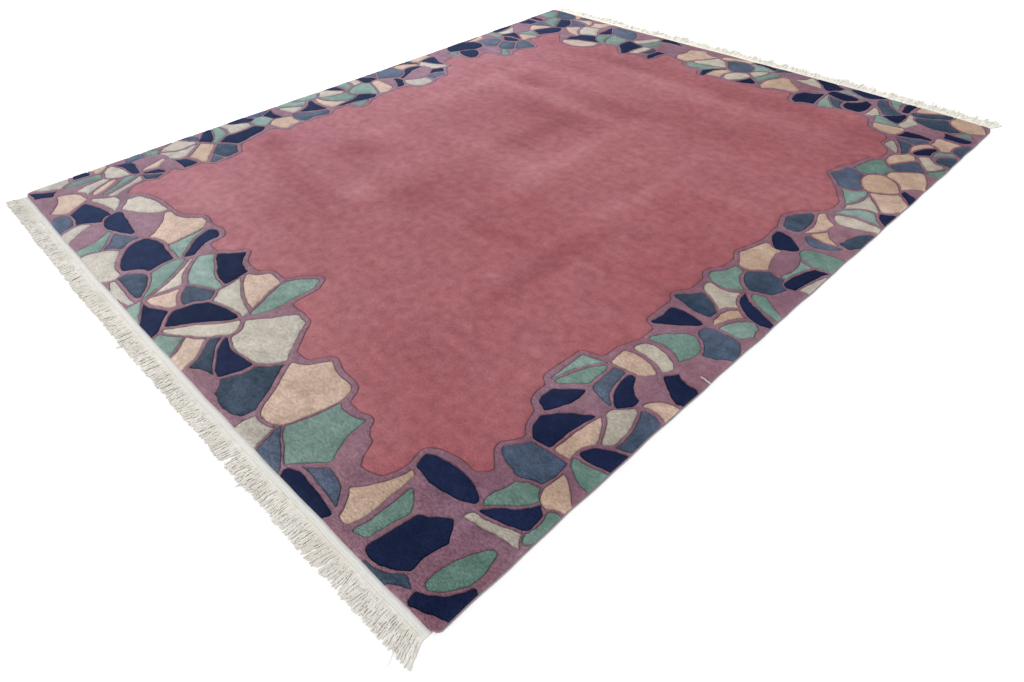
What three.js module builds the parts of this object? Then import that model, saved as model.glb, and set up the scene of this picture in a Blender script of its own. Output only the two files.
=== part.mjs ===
// A hand-knotted wool rug, lying flat, in millimetres. +X runs across the width, +Y along the
// length and +Z up, with the origin under the middle of the rug, on the floor.
//
// The rug is woven from its near end to its far end. Its thick pile body has an overcast
// selvedge cord along each long side. At each end the bare cotton web, the kelim, goes on for
// two fingers' width, and the warp ends hang out of it as a fringe.

import * as THREE from 'three';

// Driving dimensions
const bodyWidth = 2494;
const bodyLength = 3025;
const pileTop = 15;
const cornerRadius = 14;
const kelimWidth = 20;
const kelimHeight = 3;
const fringeLength = 54;
const fringeHeight = 2.5;
const strandGroups = 96;
const selvedgeWidth = 6;
const selvedgeHeight = 5;
const gap = 0.3;

// How far each edge bows outwards at its middle, and how much fuller it is towards its end in
// the +X or +Y direction.
const edgeShape = {
  near: { bow: 16, skew: 0 },
  far: { bow: 18, skew: 24 },
  left: { bow: -7, skew: -12 },
  right: { bow: -4, skew: 10 },
};

// The body's wall, from the floor up. The pile leans out over the woven base and is sheared
// round at its top edge.
const wall = [
  { height: 0, inset: 4 },
  { height: 4.5, inset: 3 },
  { height: 7, inset: 0 },
  { height: 11, inset: 0 },
  { height: 13.5, inset: 2 },
  { height: pileTop, inset: 6 },
];

// How far a fringe fans out sideways at its two ends, and the stretch over which it does.
const fringeFlare = {
  near: { left: 26, right: 20 },
  far: { left: 10, right: 28 },
};
const flareReach = 90;

// Hand-knotted warp ends are never of one length: two slow waves run along the row of strands.
const unevenness = [
  { size: 3, pace: 1.7, start: 0 },
  { size: 2, pace: 0.61, start: 1 },
];

// How far the woven base stays inside the body's outline, where kelim and selvedge begin.
const baseInset = 3;

const edgeSteps = 32;
const cornerSteps = 5;

// A point on one edge of the rug. t runs from -1 to 1 between the two rounded corners, towards
// +X or +Y, and reach is how far outside the body's outline the point lies.
function edgePoint(edge, t, reach, height) {
  const { bow, skew } = edgeShape[edge];
  const out = (bow + skew * t) * (1 - t * t) + reach;
  if (edge === 'near' || edge === 'far') {
    const side = edge === 'near' ? -1 : 1;
    const along = t * (bodyWidth / 2 - cornerRadius);
    return new THREE.Vector3(along, side * (bodyLength / 2 + out), height);
  }
  const side = edge === 'left' ? -1 : 1;
  const along = t * (bodyLength / 2 - cornerRadius);
  return new THREE.Vector3(side * (bodyWidth / 2 + out), along, height);
}

// Evenly spaced values from first to last.
function stations(first, last, steps) {
  return Array.from({ length: steps + 1 }, (_, i) => first + ((last - first) * i) / steps);
}

// The quarter turn between two edges, without its two ends, which the edges hold.
function cornerPoints(xSide, ySide, startAngle, inset, height) {
  const centreX = xSide * (bodyWidth / 2 - cornerRadius);
  const centreY = ySide * (bodyLength / 2 - cornerRadius);
  const radius = cornerRadius - inset;
  return stations(startAngle, startAngle + Math.PI / 2, cornerSteps).slice(1, -1).map(
    (angle) => new THREE.Vector3(
      centreX + radius * Math.cos(angle),
      centreY + radius * Math.sin(angle),
      height,
    ),
  );
}

// The body's outline at one height, anticlockwise from the near left corner.
function bodyRing(height, inset) {
  const forward = stations(-1, 1, edgeSteps);
  const backward = stations(1, -1, edgeSteps);
  return [
    ...forward.map((t) => edgePoint('near', t, -inset, height)),
    ...cornerPoints(1, -1, -Math.PI / 2, inset, height),
    ...forward.map((t) => edgePoint('right', t, -inset, height)),
    ...cornerPoints(1, 1, 0, inset, height),
    ...backward.map((t) => edgePoint('far', t, -inset, height)),
    ...cornerPoints(-1, 1, Math.PI / 2, inset, height),
    ...backward.map((t) => edgePoint('left', t, -inset, height)),
    ...cornerPoints(-1, -1, Math.PI, inset, height),
  ];
}

function signedVolume(points, triangles) {
  return triangles.reduce((sum, [a, b, c]) => {
    const normal = new THREE.Vector3().crossVectors(points[b], points[c]);
    return sum + points[a].dot(normal) / 6;
  }, 0);
}

// A closed body through rings of equally many points, with a flat cap on its first and last
// ring. flatten gives a cap point's two coordinates in the plane of the cap.
function loft(rings, flatten) {
  const count = rings[0].length;
  const points = rings.flat();
  const triangles = [];
  for (let ring = 0; ring < rings.length - 1; ring += 1) {
    for (let i = 0; i < count; i += 1) {
      const next = (i + 1) % count;
      const low = ring * count;
      const high = low + count;
      triangles.push([low + i, low + next, high + next]);
      triangles.push([low + i, high + next, high + i]);
    }
  }
  const lastRing = (rings.length - 1) * count;
  const caps = [
    { ring: rings[0], start: 0, turned: true },
    { ring: rings[rings.length - 1], start: lastRing, turned: false },
  ];
  for (const { ring, start, turned } of caps) {
    const outline = ring.map(flatten);
    const anticlockwise = THREE.ShapeUtils.area(outline) > 0;
    for (const [a, b, c] of THREE.ShapeUtils.triangulateShape(outline, [])) {
      const face = [start + a, start + b, start + c];
      triangles.push(turned === anticlockwise ? face.reverse() : face);
    }
  }
  if (signedVolume(points, triangles) < 0) {
    triangles.forEach((face) => face.reverse());
  }
  const geometry = new THREE.BufferGeometry();
  geometry.setAttribute('position', new THREE.Float32BufferAttribute(
    points.flatMap((point) => point.toArray()),
    3,
  ));
  geometry.setIndex(triangles.flat());
  geometry.computeVertexNormals();
  return geometry;
}

const fromAbove = (point) => new THREE.Vector2(point.x, point.y);
const fromTheEnd = (point) => new THREE.Vector2(point.x, point.z);

// The pile body: one flat solid with a leaning, rounded wall.
function pileBody() {
  return loft(wall.map(({ height, inset }) => bodyRing(height, inset)), fromAbove);
}

// The bare web beyond the pile at one end.
function kelim(end) {
  const inner = -baseInset + gap;
  const ring = (height) => [
    ...stations(-1, 1, edgeSteps).map((t) => edgePoint(end, t, inner, height)),
    ...stations(1, -1, edgeSteps).map((t) => edgePoint(end, t, kelimWidth, height)),
  ];
  return loft([ring(0), ring(kelimHeight)], fromAbove);
}

// How far a strand's tip leans sideways, from its distance to the fringe's two ends.
function lean(end, t) {
  const half = bodyWidth / 2 - cornerRadius;
  const fromLeft = (t + 1) * half;
  const fromRight = (1 - t) * half;
  const { left, right } = fringeFlare[end];
  return right * Math.exp(-fromRight / flareReach) - left * Math.exp(-fromLeft / flareReach);
}

function strandLength(index) {
  return unevenness.reduce(
    (length, { size, pace, start }) => length + size * (Math.sin(pace * index + start) - 1),
    fringeLength,
  );
}

// The fringe of one end: a comb of strand groups on the cord that is twined across them. Each
// group fills a share of its pitch, more at its root than at its tip.
function fringe(end) {
  const twining = 6;
  const rootShare = 0.78;
  const tipShare = 0.56;
  const root = kelimWidth + gap;
  const pitch = 2 / strandGroups;
  const ring = (height) => {
    const points = [
      edgePoint(end, 1, root, height),
      ...stations(1, -1, edgeSteps).slice(1, -1).map((t) => edgePoint(end, t, root, height)),
      edgePoint(end, -1, root, height),
    ];
    for (let i = 0; i < strandGroups; i += 1) {
      const middle = -1 + pitch * (i + 0.5);
      const halfRoot = (pitch * rootShare) / 2;
      const halfTip = (pitch * tipShare) / 2;
      const tipReach = root + strandLength(i);
      const tips = [middle - halfTip, middle + halfTip].map((t) => {
        const tip = edgePoint(end, t, tipReach, height);
        tip.x += lean(end, t);
        return tip;
      });
      points.push(edgePoint(end, middle - halfRoot, root + twining, height));
      points.push(...tips);
      points.push(edgePoint(end, middle + halfRoot, root + twining, height));
    }
    return points;
  };
  return loft([ring(0), ring(fringeHeight)], fromAbove);
}

// The overcast cord along one long side, half under the leaning pile.
function selvedge(side) {
  const middle = -baseInset + gap + selvedgeWidth / 2;
  const facets = 8;
  const section = (t) => stations(0, facets - 1, facets - 1).map((i) => {
    const angle = ((i + 0.5) / facets) * 2 * Math.PI;
    const widest = Math.cos(Math.PI / facets);
    const reach = middle + (selvedgeWidth / 2) * (Math.cos(angle) / widest);
    const height = (selvedgeHeight / 2) * (1 + Math.sin(angle) / widest);
    return edgePoint(side, t, reach, height);
  });
  return loft(stations(-1, 1, edgeSteps).map(section), fromTheEnd);
}

function woolOrCotton(colour, roughness) {
  return new THREE.MeshStandardMaterial({ color: colour, roughness, metalness: 0 });
}

const pieces = [
  { name: 'pile_body', geometry: pileBody(), material: woolOrCotton(0xa8626c, 0.95) },
  { name: 'selvedge_left', geometry: selvedge('left'), material: woolOrCotton(0x6f5a64, 0.9) },
  { name: 'selvedge_right', geometry: selvedge('right'), material: woolOrCotton(0x6f5a64, 0.9) },
  { name: 'kelim_near', geometry: kelim('near'), material: woolOrCotton(0xe2dfd8, 0.92) },
  { name: 'kelim_far', geometry: kelim('far'), material: woolOrCotton(0xe2dfd8, 0.92) },
  { name: 'fringe_near', geometry: fringe('near'), material: woolOrCotton(0xdedad0, 0.9) },
  { name: 'fringe_far', geometry: fringe('far'), material: woolOrCotton(0xdedad0, 0.9) },
];

const rug = new THREE.Group();
for (const { name, geometry, material } of pieces) {
  const mesh = new THREE.Mesh(geometry, material);
  mesh.name = name;
  rug.add(mesh);
}

// The origin lies under the middle of the whole rug, fringes and all.
const wholeBox = new THREE.Box3().setFromObject(rug, true);
const middle = wholeBox.getCenter(new THREE.Vector3());
rug.position.set(-middle.x, -middle.y, -wholeBox.min.z);

export default rug;
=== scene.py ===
# %% [markdown]
# # A hand-knotted wool rug
#
# The rug lies flat on the floor. Its thick pile shows a plain rose field inside a border of
# stones, like crazy paving, set in a lilac ground. A carved line runs round every stone. Each
# end of the rug has a bare cotton web, the kelim, with the warp ends hanging out of it as a
# fringe, and each long side is overcast with a wool cord, the selvedge.
#
# The rug could be one grid with a painted pattern. Here each yarn colour is its own closed
# piece of pile instead, standing on a shared woven foundation, because the carved lines and the
# sheared edges are real shapes that catch the light.

# %% The frame that holds the rug's place and size
import math
import random

import bpy
import numpy as np
from mathutils import Matrix, Vector, kdtree, noise
from mathutils.geometry import delaunay_2d_cdt


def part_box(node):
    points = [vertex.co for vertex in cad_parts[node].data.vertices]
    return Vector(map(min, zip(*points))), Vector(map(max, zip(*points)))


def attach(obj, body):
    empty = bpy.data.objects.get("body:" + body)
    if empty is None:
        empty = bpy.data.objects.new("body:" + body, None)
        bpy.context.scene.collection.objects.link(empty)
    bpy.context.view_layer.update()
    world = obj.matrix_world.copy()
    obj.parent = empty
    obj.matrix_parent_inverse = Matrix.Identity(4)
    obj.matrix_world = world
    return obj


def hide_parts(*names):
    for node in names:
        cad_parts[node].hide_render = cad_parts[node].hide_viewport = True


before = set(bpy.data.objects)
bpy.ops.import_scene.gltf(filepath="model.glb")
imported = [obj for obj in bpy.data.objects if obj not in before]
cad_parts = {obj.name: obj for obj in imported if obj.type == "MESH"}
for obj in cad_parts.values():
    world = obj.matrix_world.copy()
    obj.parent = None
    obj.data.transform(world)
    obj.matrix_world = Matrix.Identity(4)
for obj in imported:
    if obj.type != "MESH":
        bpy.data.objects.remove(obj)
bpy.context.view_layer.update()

# %% [markdown]
# ## Flat rug coordinates
# A pattern is easiest to draw on a plain rectangle, but a rug never comes off the loom quite
# square: its ends and sides bow a little. So every line is drawn in flat coordinates, across
# and along, and one function, `laid`, moves it to its place on the floor. The same flat
# coordinates become the "weave" UV map, which lets the rows of knots follow the bowed cloth.

# %% The bows of the four edges, in metres
EDGE_BOW = {  # how far out the middle stands, and how much fuller it is towards +X or +Y
    "near": (0.016, 0.0),
    "far": (0.018, 0.024),
    "left": (-0.007, -0.012),
    "right": (-0.004, 0.010),
}
CORNER = 0.020              # the radius of the rug's corners
TIGHTEST_CORNER = 0.002     # the least radius of a corner that is drawn further in


def bow(edge, share):
    """How far an edge stands out, from -1 at its one corner to 1 at the other."""
    middle, skew = EDGE_BOW[edge]
    share = np.clip(share, -1.0, 1.0)
    return (middle + skew * share) * (1.0 - share * share)


body_low, body_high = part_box("pile_body")
fullest = {edge: float(bow(edge, np.linspace(-1, 1, 401)).max()) for edge in EDGE_BOW}
WIDTH = body_high.x - body_low.x - fullest["left"] - fullest["right"]
LENGTH = body_high.y - body_low.y - fullest["near"] - fullest["far"]
PILE_TOP = body_high.z
MIDDLE = np.array([
    body_low.x + fullest["left"] + WIDTH / 2,
    body_low.y + fullest["near"] + LENGTH / 2,
])
print(f"pile {WIDTH:.3f} x {LENGTH:.3f} m, {PILE_TOP * 1000:.0f} mm high")


# %% From flat coordinates to the floor
SIDE_RIPPLES = ((0.0010, 19, 1), (0.0007, 43, 2))     # the height, pace and start of each wave
END_RIPPLES = ((0.0007, 17, 3), (0.0005, 41, 1))


def rippled(places, ripples):
    """A few small waves, summed at the places along a side."""
    return sum(height * np.sin(pace * places + start) for height, pace, start in ripples)


def laid(flat):
    """Places of flat points, an array of rows across and along, on the floor."""
    across, along = flat[:, 0], flat[:, 1]
    u = across / (WIDTH / 2 - CORNER)
    v = along / (LENGTH / 2 - CORNER)
    right_share = np.clip(across / WIDTH + 0.5, 0, 1)
    far_share = np.clip(along / LENGTH + 0.5, 0, 1)
    x = across - bow("left", v) * (1 - right_share) + bow("right", v) * right_share
    y = along - bow("near", u) * (1 - far_share) + bow("far", u) * far_share
    x += rippled(along, SIDE_RIPPLES) * across / (WIDTH / 2)
    y += rippled(across, END_RIPPLES) * along / (LENGTH / 2)
    return np.column_stack([x, y]) + MIDDLE


def rounded_core(inset=0.0):
    """The half sizes of the core between the rounded corners, and the radius round it."""
    radius = max(CORNER - inset, TIGHTEST_CORNER)
    return np.array([WIDTH / 2, LENGTH / 2]) - inset - radius, radius


def depth_inside(flat):
    """How far flat points lie inside the rug's outline with its rounded corners."""
    core, radius = rounded_core()
    over = np.abs(flat) - core
    outside = np.hypot(*np.maximum(over, 0).T)
    return radius - outside - np.minimum(over.max(1), 0)


def tucked(flat, inset):
    """Flat points moved inwards, where they have to be, to lie this far inside the outline."""
    core, radius = rounded_core(inset)
    over = flat - np.clip(flat, -core, core)
    reach = np.maximum(np.hypot(*over.T), 1e-9)
    return flat - over * np.maximum(1 - radius / reach, 0)[:, None]


# %% Soft, repeatable noise
def soft_noise(x, y, pace, layer):
    """A smooth random value about zero that changes over 1 / pace metres."""
    return noise.noise(Vector((x * pace, y * pace, layer)))


# %% [markdown]
# ## Camera
# The camera is held at chest height off the near right corner, and looks down across the rug
# through a wide lens. It is rolled by two degrees, as a camera held by hand is.

# %% The camera
CAMERA_PLACE = (1.8234, -1.8152, 1.3313)   # from the middle of the rug's body, on the floor
CAMERA_AIM = (0.7347, -0.7964, 0.0)
CAMERA_ROLL = -2.12
LENS = 24.35


def placed(name, data):
    """An object made from its data and put in the scene."""
    thing = bpy.data.objects.new(name, data)
    bpy.context.scene.collection.objects.link(thing)
    return thing


def make_camera():
    data = bpy.data.cameras.new("camera")
    data.lens = LENS
    camera = placed("camera", data)
    middle = Vector((MIDDLE[0], MIDDLE[1], 0))
    place = Vector(CAMERA_PLACE)
    view = Vector(CAMERA_AIM) - place
    turn = view.to_track_quat("-Z", "Y").to_matrix().to_4x4()
    roll = Matrix.Rotation(math.radians(CAMERA_ROLL), 4, "Z")
    camera.matrix_world = Matrix.Translation(middle + place) @ turn @ roll
    bpy.context.scene.camera = camera
    return camera


camera = make_camera()
print("camera at", [round(v, 3) for v in camera.matrix_world.translation])

# %% [markdown]
# ## The border's stones
# The border is laid like crazy paving: stones of all shapes, with a strip of lilac ground
# between them. Drawn by hand it would take hundreds of outlines, so a rule draws it. Random
# middles that keep their distance from each other are given the ground nearest to them, which
# makes angular cells that fit together. Two cells in three are cut in two, for the long shards.
# Then each stone is drawn in, which leaves the strip, its sides are bent and its corners worn.

# %% How wide the border is, and how large its stones, in metres
BORDER = {"near": 0.31, "far": 0.27, "left": 0.25, "right": 0.235}
STONE_SIZE = {"near": 0.126, "far": 0.102, "left": 0.088, "right": 0.092}
dice = random.Random(24)


def edge_distances(point):
    return {
        "near": LENGTH / 2 + point[1],
        "far": LENGTH / 2 - point[1],
        "left": WIDTH / 2 + point[0],
        "right": WIDTH / 2 - point[0],
    }


def border_share(point):
    """0 at the rug's edge, 1 where the border ends, and more than 1 in the field."""
    return min(distance / BORDER[edge] for edge, distance in edge_distances(point).items())


def stone_size(point):
    distances = edge_distances(point)
    return STONE_SIZE[min(distances, key=lambda edge: distances[edge] / BORDER[edge])]


# %% The middles of the stones
def scatter_middles(tries=16000, overhang=0.12, furthest_in=2.1):
    """Random points that keep a stone's distance from each other, over the border and past it."""
    middles = []
    for _ in range(tries):
        point = Vector((
            dice.uniform(-1, 1) * (WIDTH / 2 + overhang),
            dice.uniform(-1, 1) * (LENGTH / 2 + overhang),
        ))
        if border_share(point) > furthest_in:
            continue
        clear = stone_size(point)
        if all((point - other).length > clear for other in middles):
            middles.append(point)
    return middles


middles = scatter_middles()
print(len(middles), "middles, with those outside the border that close its cells")


# %% Cells that fit together
def clipped(polygon, point, normal, tag=None):
    """What is left of a polygon behind a line; a corner carries the tag of the side after it."""
    kept = []
    for (here, side), (there, _) in zip(polygon, polygon[1:] + polygon[:1]):
        before = (here - point).dot(normal)
        after = (there - point).dot(normal)
        if before <= 0:
            kept.append((here, side))
        if before * after < 0:
            crossing = here.lerp(there, before / (before - after))
            kept.append((crossing, tag if before <= 0 else side))
    return kept


def cell_round(number, middles, weights, reach=0.45):
    """The ground nearer to one middle than to any other; a heavy middle takes a little more."""
    middle = middles[number]
    square = ((-1, -1), (1, -1), (1, 1), (-1, 1))
    cell = [(middle + Vector(corner) * reach, None) for corner in square]
    for other, place in enumerate(middles):
        away = place - middle
        if other != number and away.length < 2 * reach:
            share = 0.5 + (weights[number] - weights[other]) / (2 * away.length_squared)
            cell = clipped(cell, middle + away * share, away)
    return [corner for corner, _ in cell]


def area(corners):
    """The area of a polygon, positive where its corners run anticlockwise."""
    x, y = np.array([tuple(corner) for corner in corners]).T
    return float(np.sum(x * np.roll(y, -1) - np.roll(x, -1) * y) / 2)


def middle_of(corners):
    return sum(corners, Vector((0, 0))) / len(corners)


# %% Shards, cut from most of the cells
SHARD_SHARE = 0.66          # how many cells are cut in two
CUT_ALONG = 0.75            # how many of the cuts run along the cell, and not across it
CUT_SLANT = 0.3             # in radians, how much a cut strays from that
UNEQUAL = 0.17              # how unequal neighbouring cells are
OUTERMOST = -0.35           # in shares of the border, how far outside the rug the cells begin
INNERMOST = 1.10            # and how far inside it they end
RAGGED = 0.5                # how ragged that inner line is


def with_sides(corners):
    """Each corner with the ends of the side after it, in an order that both its cells share."""
    following = corners[1:] + corners[:1]
    return [(a, tuple(sorted((a, b), key=tuple))) for a, b in zip(corners, following)]


def cut_in_two(cell):
    """A cell cut through its middle, mostly along its length, which leaves two long shards."""
    corners = [corner for corner, _ in cell]
    pairs = [(b - a) for i, a in enumerate(corners) for b in corners[i + 1:]]
    along = max(pairs, key=lambda pair: pair.length).normalized()
    slant = dice.gauss(0, CUT_SLANT) + (0 if dice.random() < CUT_ALONG else math.pi / 2)
    along.rotate(Matrix.Rotation(slant, 2))
    normal = Vector((-along.y, along.x))
    halves = [clipped(cell, middle_of(corners), side, "cut") for side in (normal, -normal)]
    for half in halves:
        for number, (corner, side) in enumerate(half):
            if side == "cut":
                end = half[(number + 1) % len(half)][0]
                half[number] = (corner, tuple(sorted((corner, end), key=tuple)))
    return halves


def lay_cells():
    weights = [dice.uniform(-1, 1) * UNEQUAL * stone_size(middle) ** 2 for middle in middles]
    cells = []
    for number, middle in enumerate(middles):
        ragged = INNERMOST + RAGGED * soft_noise(middle.x, middle.y, 5, 3)
        if not OUTERMOST < border_share(middle) < ragged:
            continue
        cell = with_sides(cell_round(number, middles, weights))
        cells.extend(cut_in_two(cell) if dice.random() < SHARD_SHARE else [cell])
    return cells


cells = lay_cells()
print(len(cells), "cells")


# %% A stone's outline inside its cell
def side_bulge(start, end, lean=0.42, furthest=0.015):
    """How far a side bows. It depends on the side's place, so both its stones bend alike."""
    middle = (start + end) / 2
    bulge = lean * soft_noise(middle.x, middle.y, 37, 4.7) * (end - start).length
    return max(-furthest, min(furthest, bulge))


def smoothed(points, rounds):
    """A closed loop whose points are drawn towards their neighbours, a number of times."""
    for _ in range(rounds):
        points = (np.roll(points, 1, 0) + 2 * points + np.roll(points, -1, 0)) / 4
    return points


def stone_outline(cell, drawn_in, wear, step=0.004):
    """Points round a stone: the cell's sides, moved inwards, bent, and worn at the corners."""
    corners = [corner for corner, _ in cell]
    inner = [(corner, None) for corner in corners]
    for number, (start, end) in enumerate(zip(corners, corners[1:] + corners[:1])):
        side = end - start
        outward = Vector((side.y, -side.x)).normalized()
        inner = clipped(inner, start - outward * drawn_in, outward, number)
    points = []
    for (start, number), (end, _) in zip(inner, inner[1:] + inner[:1]):
        if number is None:
            return None
        first, last = cell[number][1]
        along = last - first
        sideways = Vector((-along.y, along.x)).normalized() * side_bulge(first, last)
        count = max(2, round((end - start).length / step))
        for point in (start.lerp(end, i / count) for i in range(count)):
            share = max(0, min(1, (point - first).dot(along) / along.length_squared))
            points.append(tuple(point + sideways * 4 * share * (1 - share)))
    return smoothed(np.array(points), wear)


# %% Outlines that wander, evenly spaced and without nicks
WANDER = ((0.045, 3.6, 0.5), (0.011, 12, 9.5), (0.0032, 70, 40.5))   # how far, pace and layer


def wandered(points):
    """Bends the paving as a whole: slow, quick and knot-sized noises move every point."""
    moved = []
    for x, y in points:
        step = np.zeros(2)
        for size, pace, layer in WANDER:
            step += [size * soft_noise(x, y, pace, layer + other) for other in (0, 20)]
        moved.append((x, y) + step)
    return np.array(moved)


def even_loop(points, spacing):
    """The same closed loop, with evenly spaced points."""
    closed = np.vstack([points, points[:1]])
    reach = np.concatenate([[0], np.cumsum(np.hypot(*np.diff(closed, axis=0).T))])
    wanted = np.linspace(0, reach[-1], max(8, round(reach[-1] / spacing)), endpoint=False)
    return np.column_stack([np.interp(wanted, reach, closed[:, axis]) for axis in (0, 1)])


def without_nicks(loop, sharpest=-0.35, rounds=12):
    """A loop whose sharp inward corners are filled, as no stone in the paving has a nick."""
    for _ in range(rounds):
        before, after = np.roll(loop, 1, 0), np.roll(loop, -1, 0)
        (x1, y1), (x2, y2) = (loop - before).T, (after - loop).T
        turn = (x1 * y2 - y1 * x2) / np.maximum(np.hypot(x1, y1) * np.hypot(x2, y2), 1e-12)
        loop = np.where((turn < sharpest)[:, None], (before + after) / 2, loop)
    return loop


# %% Which stones are whole enough to weave
RING_STEP = 0.0065          # between points along an outline
SMALLEST_STONE = 0.0013     # square metres
LEAST_ON_RUG = 0.2          # the share of a stone that has to lie on the rug
THINNEST_STONE = 0.0075     # its area over the length of its outline


def part_on_rug(loop):
    """The area of the part of a stone that lies on the rug."""
    polygon = [(Vector(point), None) for point in loop]
    for normal, half in (((1, 0), WIDTH), ((-1, 0), WIDTH), ((0, 1), LENGTH), ((0, -1), LENGTH)):
        polygon = clipped(polygon, Vector(normal) * (half / 2), Vector(normal))
        if len(polygon) < 3:
            return 0.0
    return area([corner for corner, _ in polygon])


def crosses_itself(loop):
    """Whether any two sides of a loop cross."""
    start, end = loop, np.roll(loop, -1, 0)

    def turns(a, b, c):
        return (b[..., 0] - a[..., 0]) * (c[..., 1] - a[..., 1]) - (
            b[..., 1] - a[..., 1]) * (c[..., 0] - a[..., 0])

    s, e = start[:, None], end[:, None]
    first = turns(s, e, start[None]) * turns(s, e, end[None]) < 0
    return bool((first & first.T).any())


def clear_of_rim(loop, clear=0.0015, beyond=0.002, probe=0.0002):
    """Points close to the rug's outline, moved outside it, so that no stone grazes the line."""
    depth = depth_inside(loop)
    slope = np.column_stack([
        depth_inside(loop + step) - depth_inside(loop - step)
        for step in (np.array([probe, 0]), np.array([0, probe]))
    ]) / (2 * probe)
    near = (depth > -beyond) & (depth < clear)
    return loop - near[:, None] * slope * (depth + beyond)[:, None]


def can_be_woven(loop):
    """Whether a stone is large, thick and plain enough to be knotted."""
    whole, woven = area(loop), part_on_rug(loop)
    rim = np.hypot(*(np.roll(loop, -1, 0) - loop).T).sum()
    if woven <= max(SMALLEST_STONE, LEAST_ON_RUG * whole) or whole / rim <= THINNEST_STONE:
        return False
    return not crosses_itself(loop)


# %% The stones that are woven
DRAWN_IN = (0.0040, 0.0045, 0.0055, 0.0070, 0.0110)   # a stone's own half of the lilac strip
WEAR = (0, 0, 1, 1, 2, 4)                             # how often its corners are smoothed
LEFT_OUT = 0.09             # the share of cells that stay plain lilac


def make_stones():
    loops = []
    for cell in cells:
        drawn_in, wear = dice.choice(DRAWN_IN), dice.choice(WEAR)
        left_out = dice.random() < LEFT_OUT
        outline = None if left_out else stone_outline(cell, drawn_in, wear)
        if outline is None:
            continue
        loop = without_nicks(even_loop(wandered(outline), RING_STEP))
        loop = clear_of_rim(even_loop(loop, RING_STEP))
        if can_be_woven(loop):
            loops.append(loop)
    return loops


stones = make_stones()
print(len(stones), "stones, mean", round(np.mean([area(s) for s in stones]) * 1e4), "cm2")

# %% [markdown]
# ## Yarn colours of the stones
# Navy comes most often, then peach, slate and grey-green, and cream least. A stone seldom has
# the colour of one beside it, so every colour is less likely for each neighbour that has it.

# %% A yarn for every stone
STONE_YARNS = {"navy": 27, "slate": 19, "green": 18, "peach": 20, "cream": 16}
BESIDE_REACH = 1.5          # in stone sizes, how near a neighbour's middle is
AGAIN = 0.2                 # how likely a colour stays for each neighbour that has it


def choose_yarns():
    centres = [loop.mean(0) for loop in stones]
    chosen = []
    for centre in centres:
        beside = [yarn for yarn, other in zip(chosen, centres)
                  if np.hypot(*(other - centre)) < BESIDE_REACH * stone_size(centre)]
        wishes = [share * AGAIN ** beside.count(yarn) for yarn, share in STONE_YARNS.items()]
        chosen.append(dice.choices(list(STONE_YARNS), wishes)[0])
    return chosen


yarns = choose_yarns()
print({yarn: yarns.count(yarn) for yarn in STONE_YARNS})

# %% [markdown]
# ## The field's edge
# The lilac ground follows the inner stones at about a finger's width, in bays and points, and
# the rose field starts there. Rays go outwards from a plain rectangle inside the field. Each ray
# stops where a stone comes near, or where it has gone far enough into the border.

# %% Rays out of the field
FIELD_MARGIN = 0.019
FIELD_CORE = 0.34           # from the border's inner line to where the rays start
DEEPEST_BAY = 0.60          # the share of the border that the field doesn't reach into
WAVY_MARGIN = 0.5           # how unevenly the margin is kept
WAVY_BAY = 0.25             # and the depth of the deepest bays


def search_tree(loops, spacing):
    """A search tree of points along outlines, which finds the nearest of them quickly."""
    points = np.vstack([even_loop(loop, spacing) for loop in loops])
    tree = kdtree.KDTree(len(points))
    for number, (x, y) in enumerate(points):
        tree.insert((x, y, 0), number)
    tree.balance()
    return tree


def rays(step=0.005, fan_reach=1.5):
    """Starts and directions of the rays, anticlockwise from the near left corner."""
    left = -WIDTH / 2 + BORDER["left"] + FIELD_CORE
    right = WIDTH / 2 - BORDER["right"] - FIELD_CORE
    near = -LENGTH / 2 + BORDER["near"] + FIELD_CORE
    far = LENGTH / 2 - BORDER["far"] - FIELD_CORE
    corners = [(left, near), (right, near), (right, far), (left, far)]
    fan = round(math.pi / 2 * FIELD_CORE * fan_reach / step)
    for number, corner in enumerate(corners):
        start, end = Vector(corner), Vector(corners[(number + 1) % 4])
        facing = -math.pi / 2 + number * math.pi / 2
        for turn in range(fan):
            angle = facing - math.pi / 2 * (1 - turn / fan)
            yield start, Vector((math.cos(angle), math.sin(angle)))
        count = round((end - start).length / step)
        for i in range(count):
            yield start.lerp(end, i / count), Vector((math.cos(facing), math.sin(facing)))


def ray_length(start, direction, tree, shortest=0.001, longest=0.02):
    """How far a ray gets, in steps as long as the ground ahead of it is clear."""
    reach = 0.0
    while True:
        point = start + direction * reach
        wavy = soft_noise(point.x, point.y, 9, 7)
        clear = tree.find((point.x, point.y, 0))[2] - FIELD_MARGIN * (1 + WAVY_MARGIN * wavy)
        if clear < shortest / 2 or border_share(point) < DEEPEST_BAY + WAVY_BAY * wavy:
            return reach
        reach += min(max(clear, shortest), longest)


# %% The edge itself
def without_narrow_bays(lengths, width=5):
    """Fills bays of the field that are only a few rays wide."""
    shifts = range(-width, width + 1)
    shallow = np.min([np.roll(lengths, shift) for shift in shifts], axis=0)
    return np.max([np.roll(shallow, shift) for shift in shifts], axis=0)


def field_outline(spacing=0.004, rounds=5):
    tree = search_tree(stones, spacing)
    lines = list(rays())
    lengths = without_narrow_bays(np.array([ray_length(*line, tree) for line in lines]))
    starts = np.array([tuple(start) for start, _ in lines])
    directions = np.array([tuple(direction) for _, direction in lines])
    points = even_loop(starts + directions * lengths[:, None], spacing)
    return even_loop(smoothed(points, rounds), RING_STEP)


field = field_outline()
print(f"field of {area(field):.2f} m2, its edge {len(field) * RING_STEP:.1f} m long")

# %% [markdown]
# ## One net of triangles under the whole pattern
# The pile's surface has to follow every outline exactly, and be fine beside it, where the carving
# slopes down, but may be coarse in the middle of the field. A constrained triangulation does
# that: the outlines are fixed as edges, rows of points lie beside them at the carving's own
# distances, and a loose grid of points fills the rest.

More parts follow.
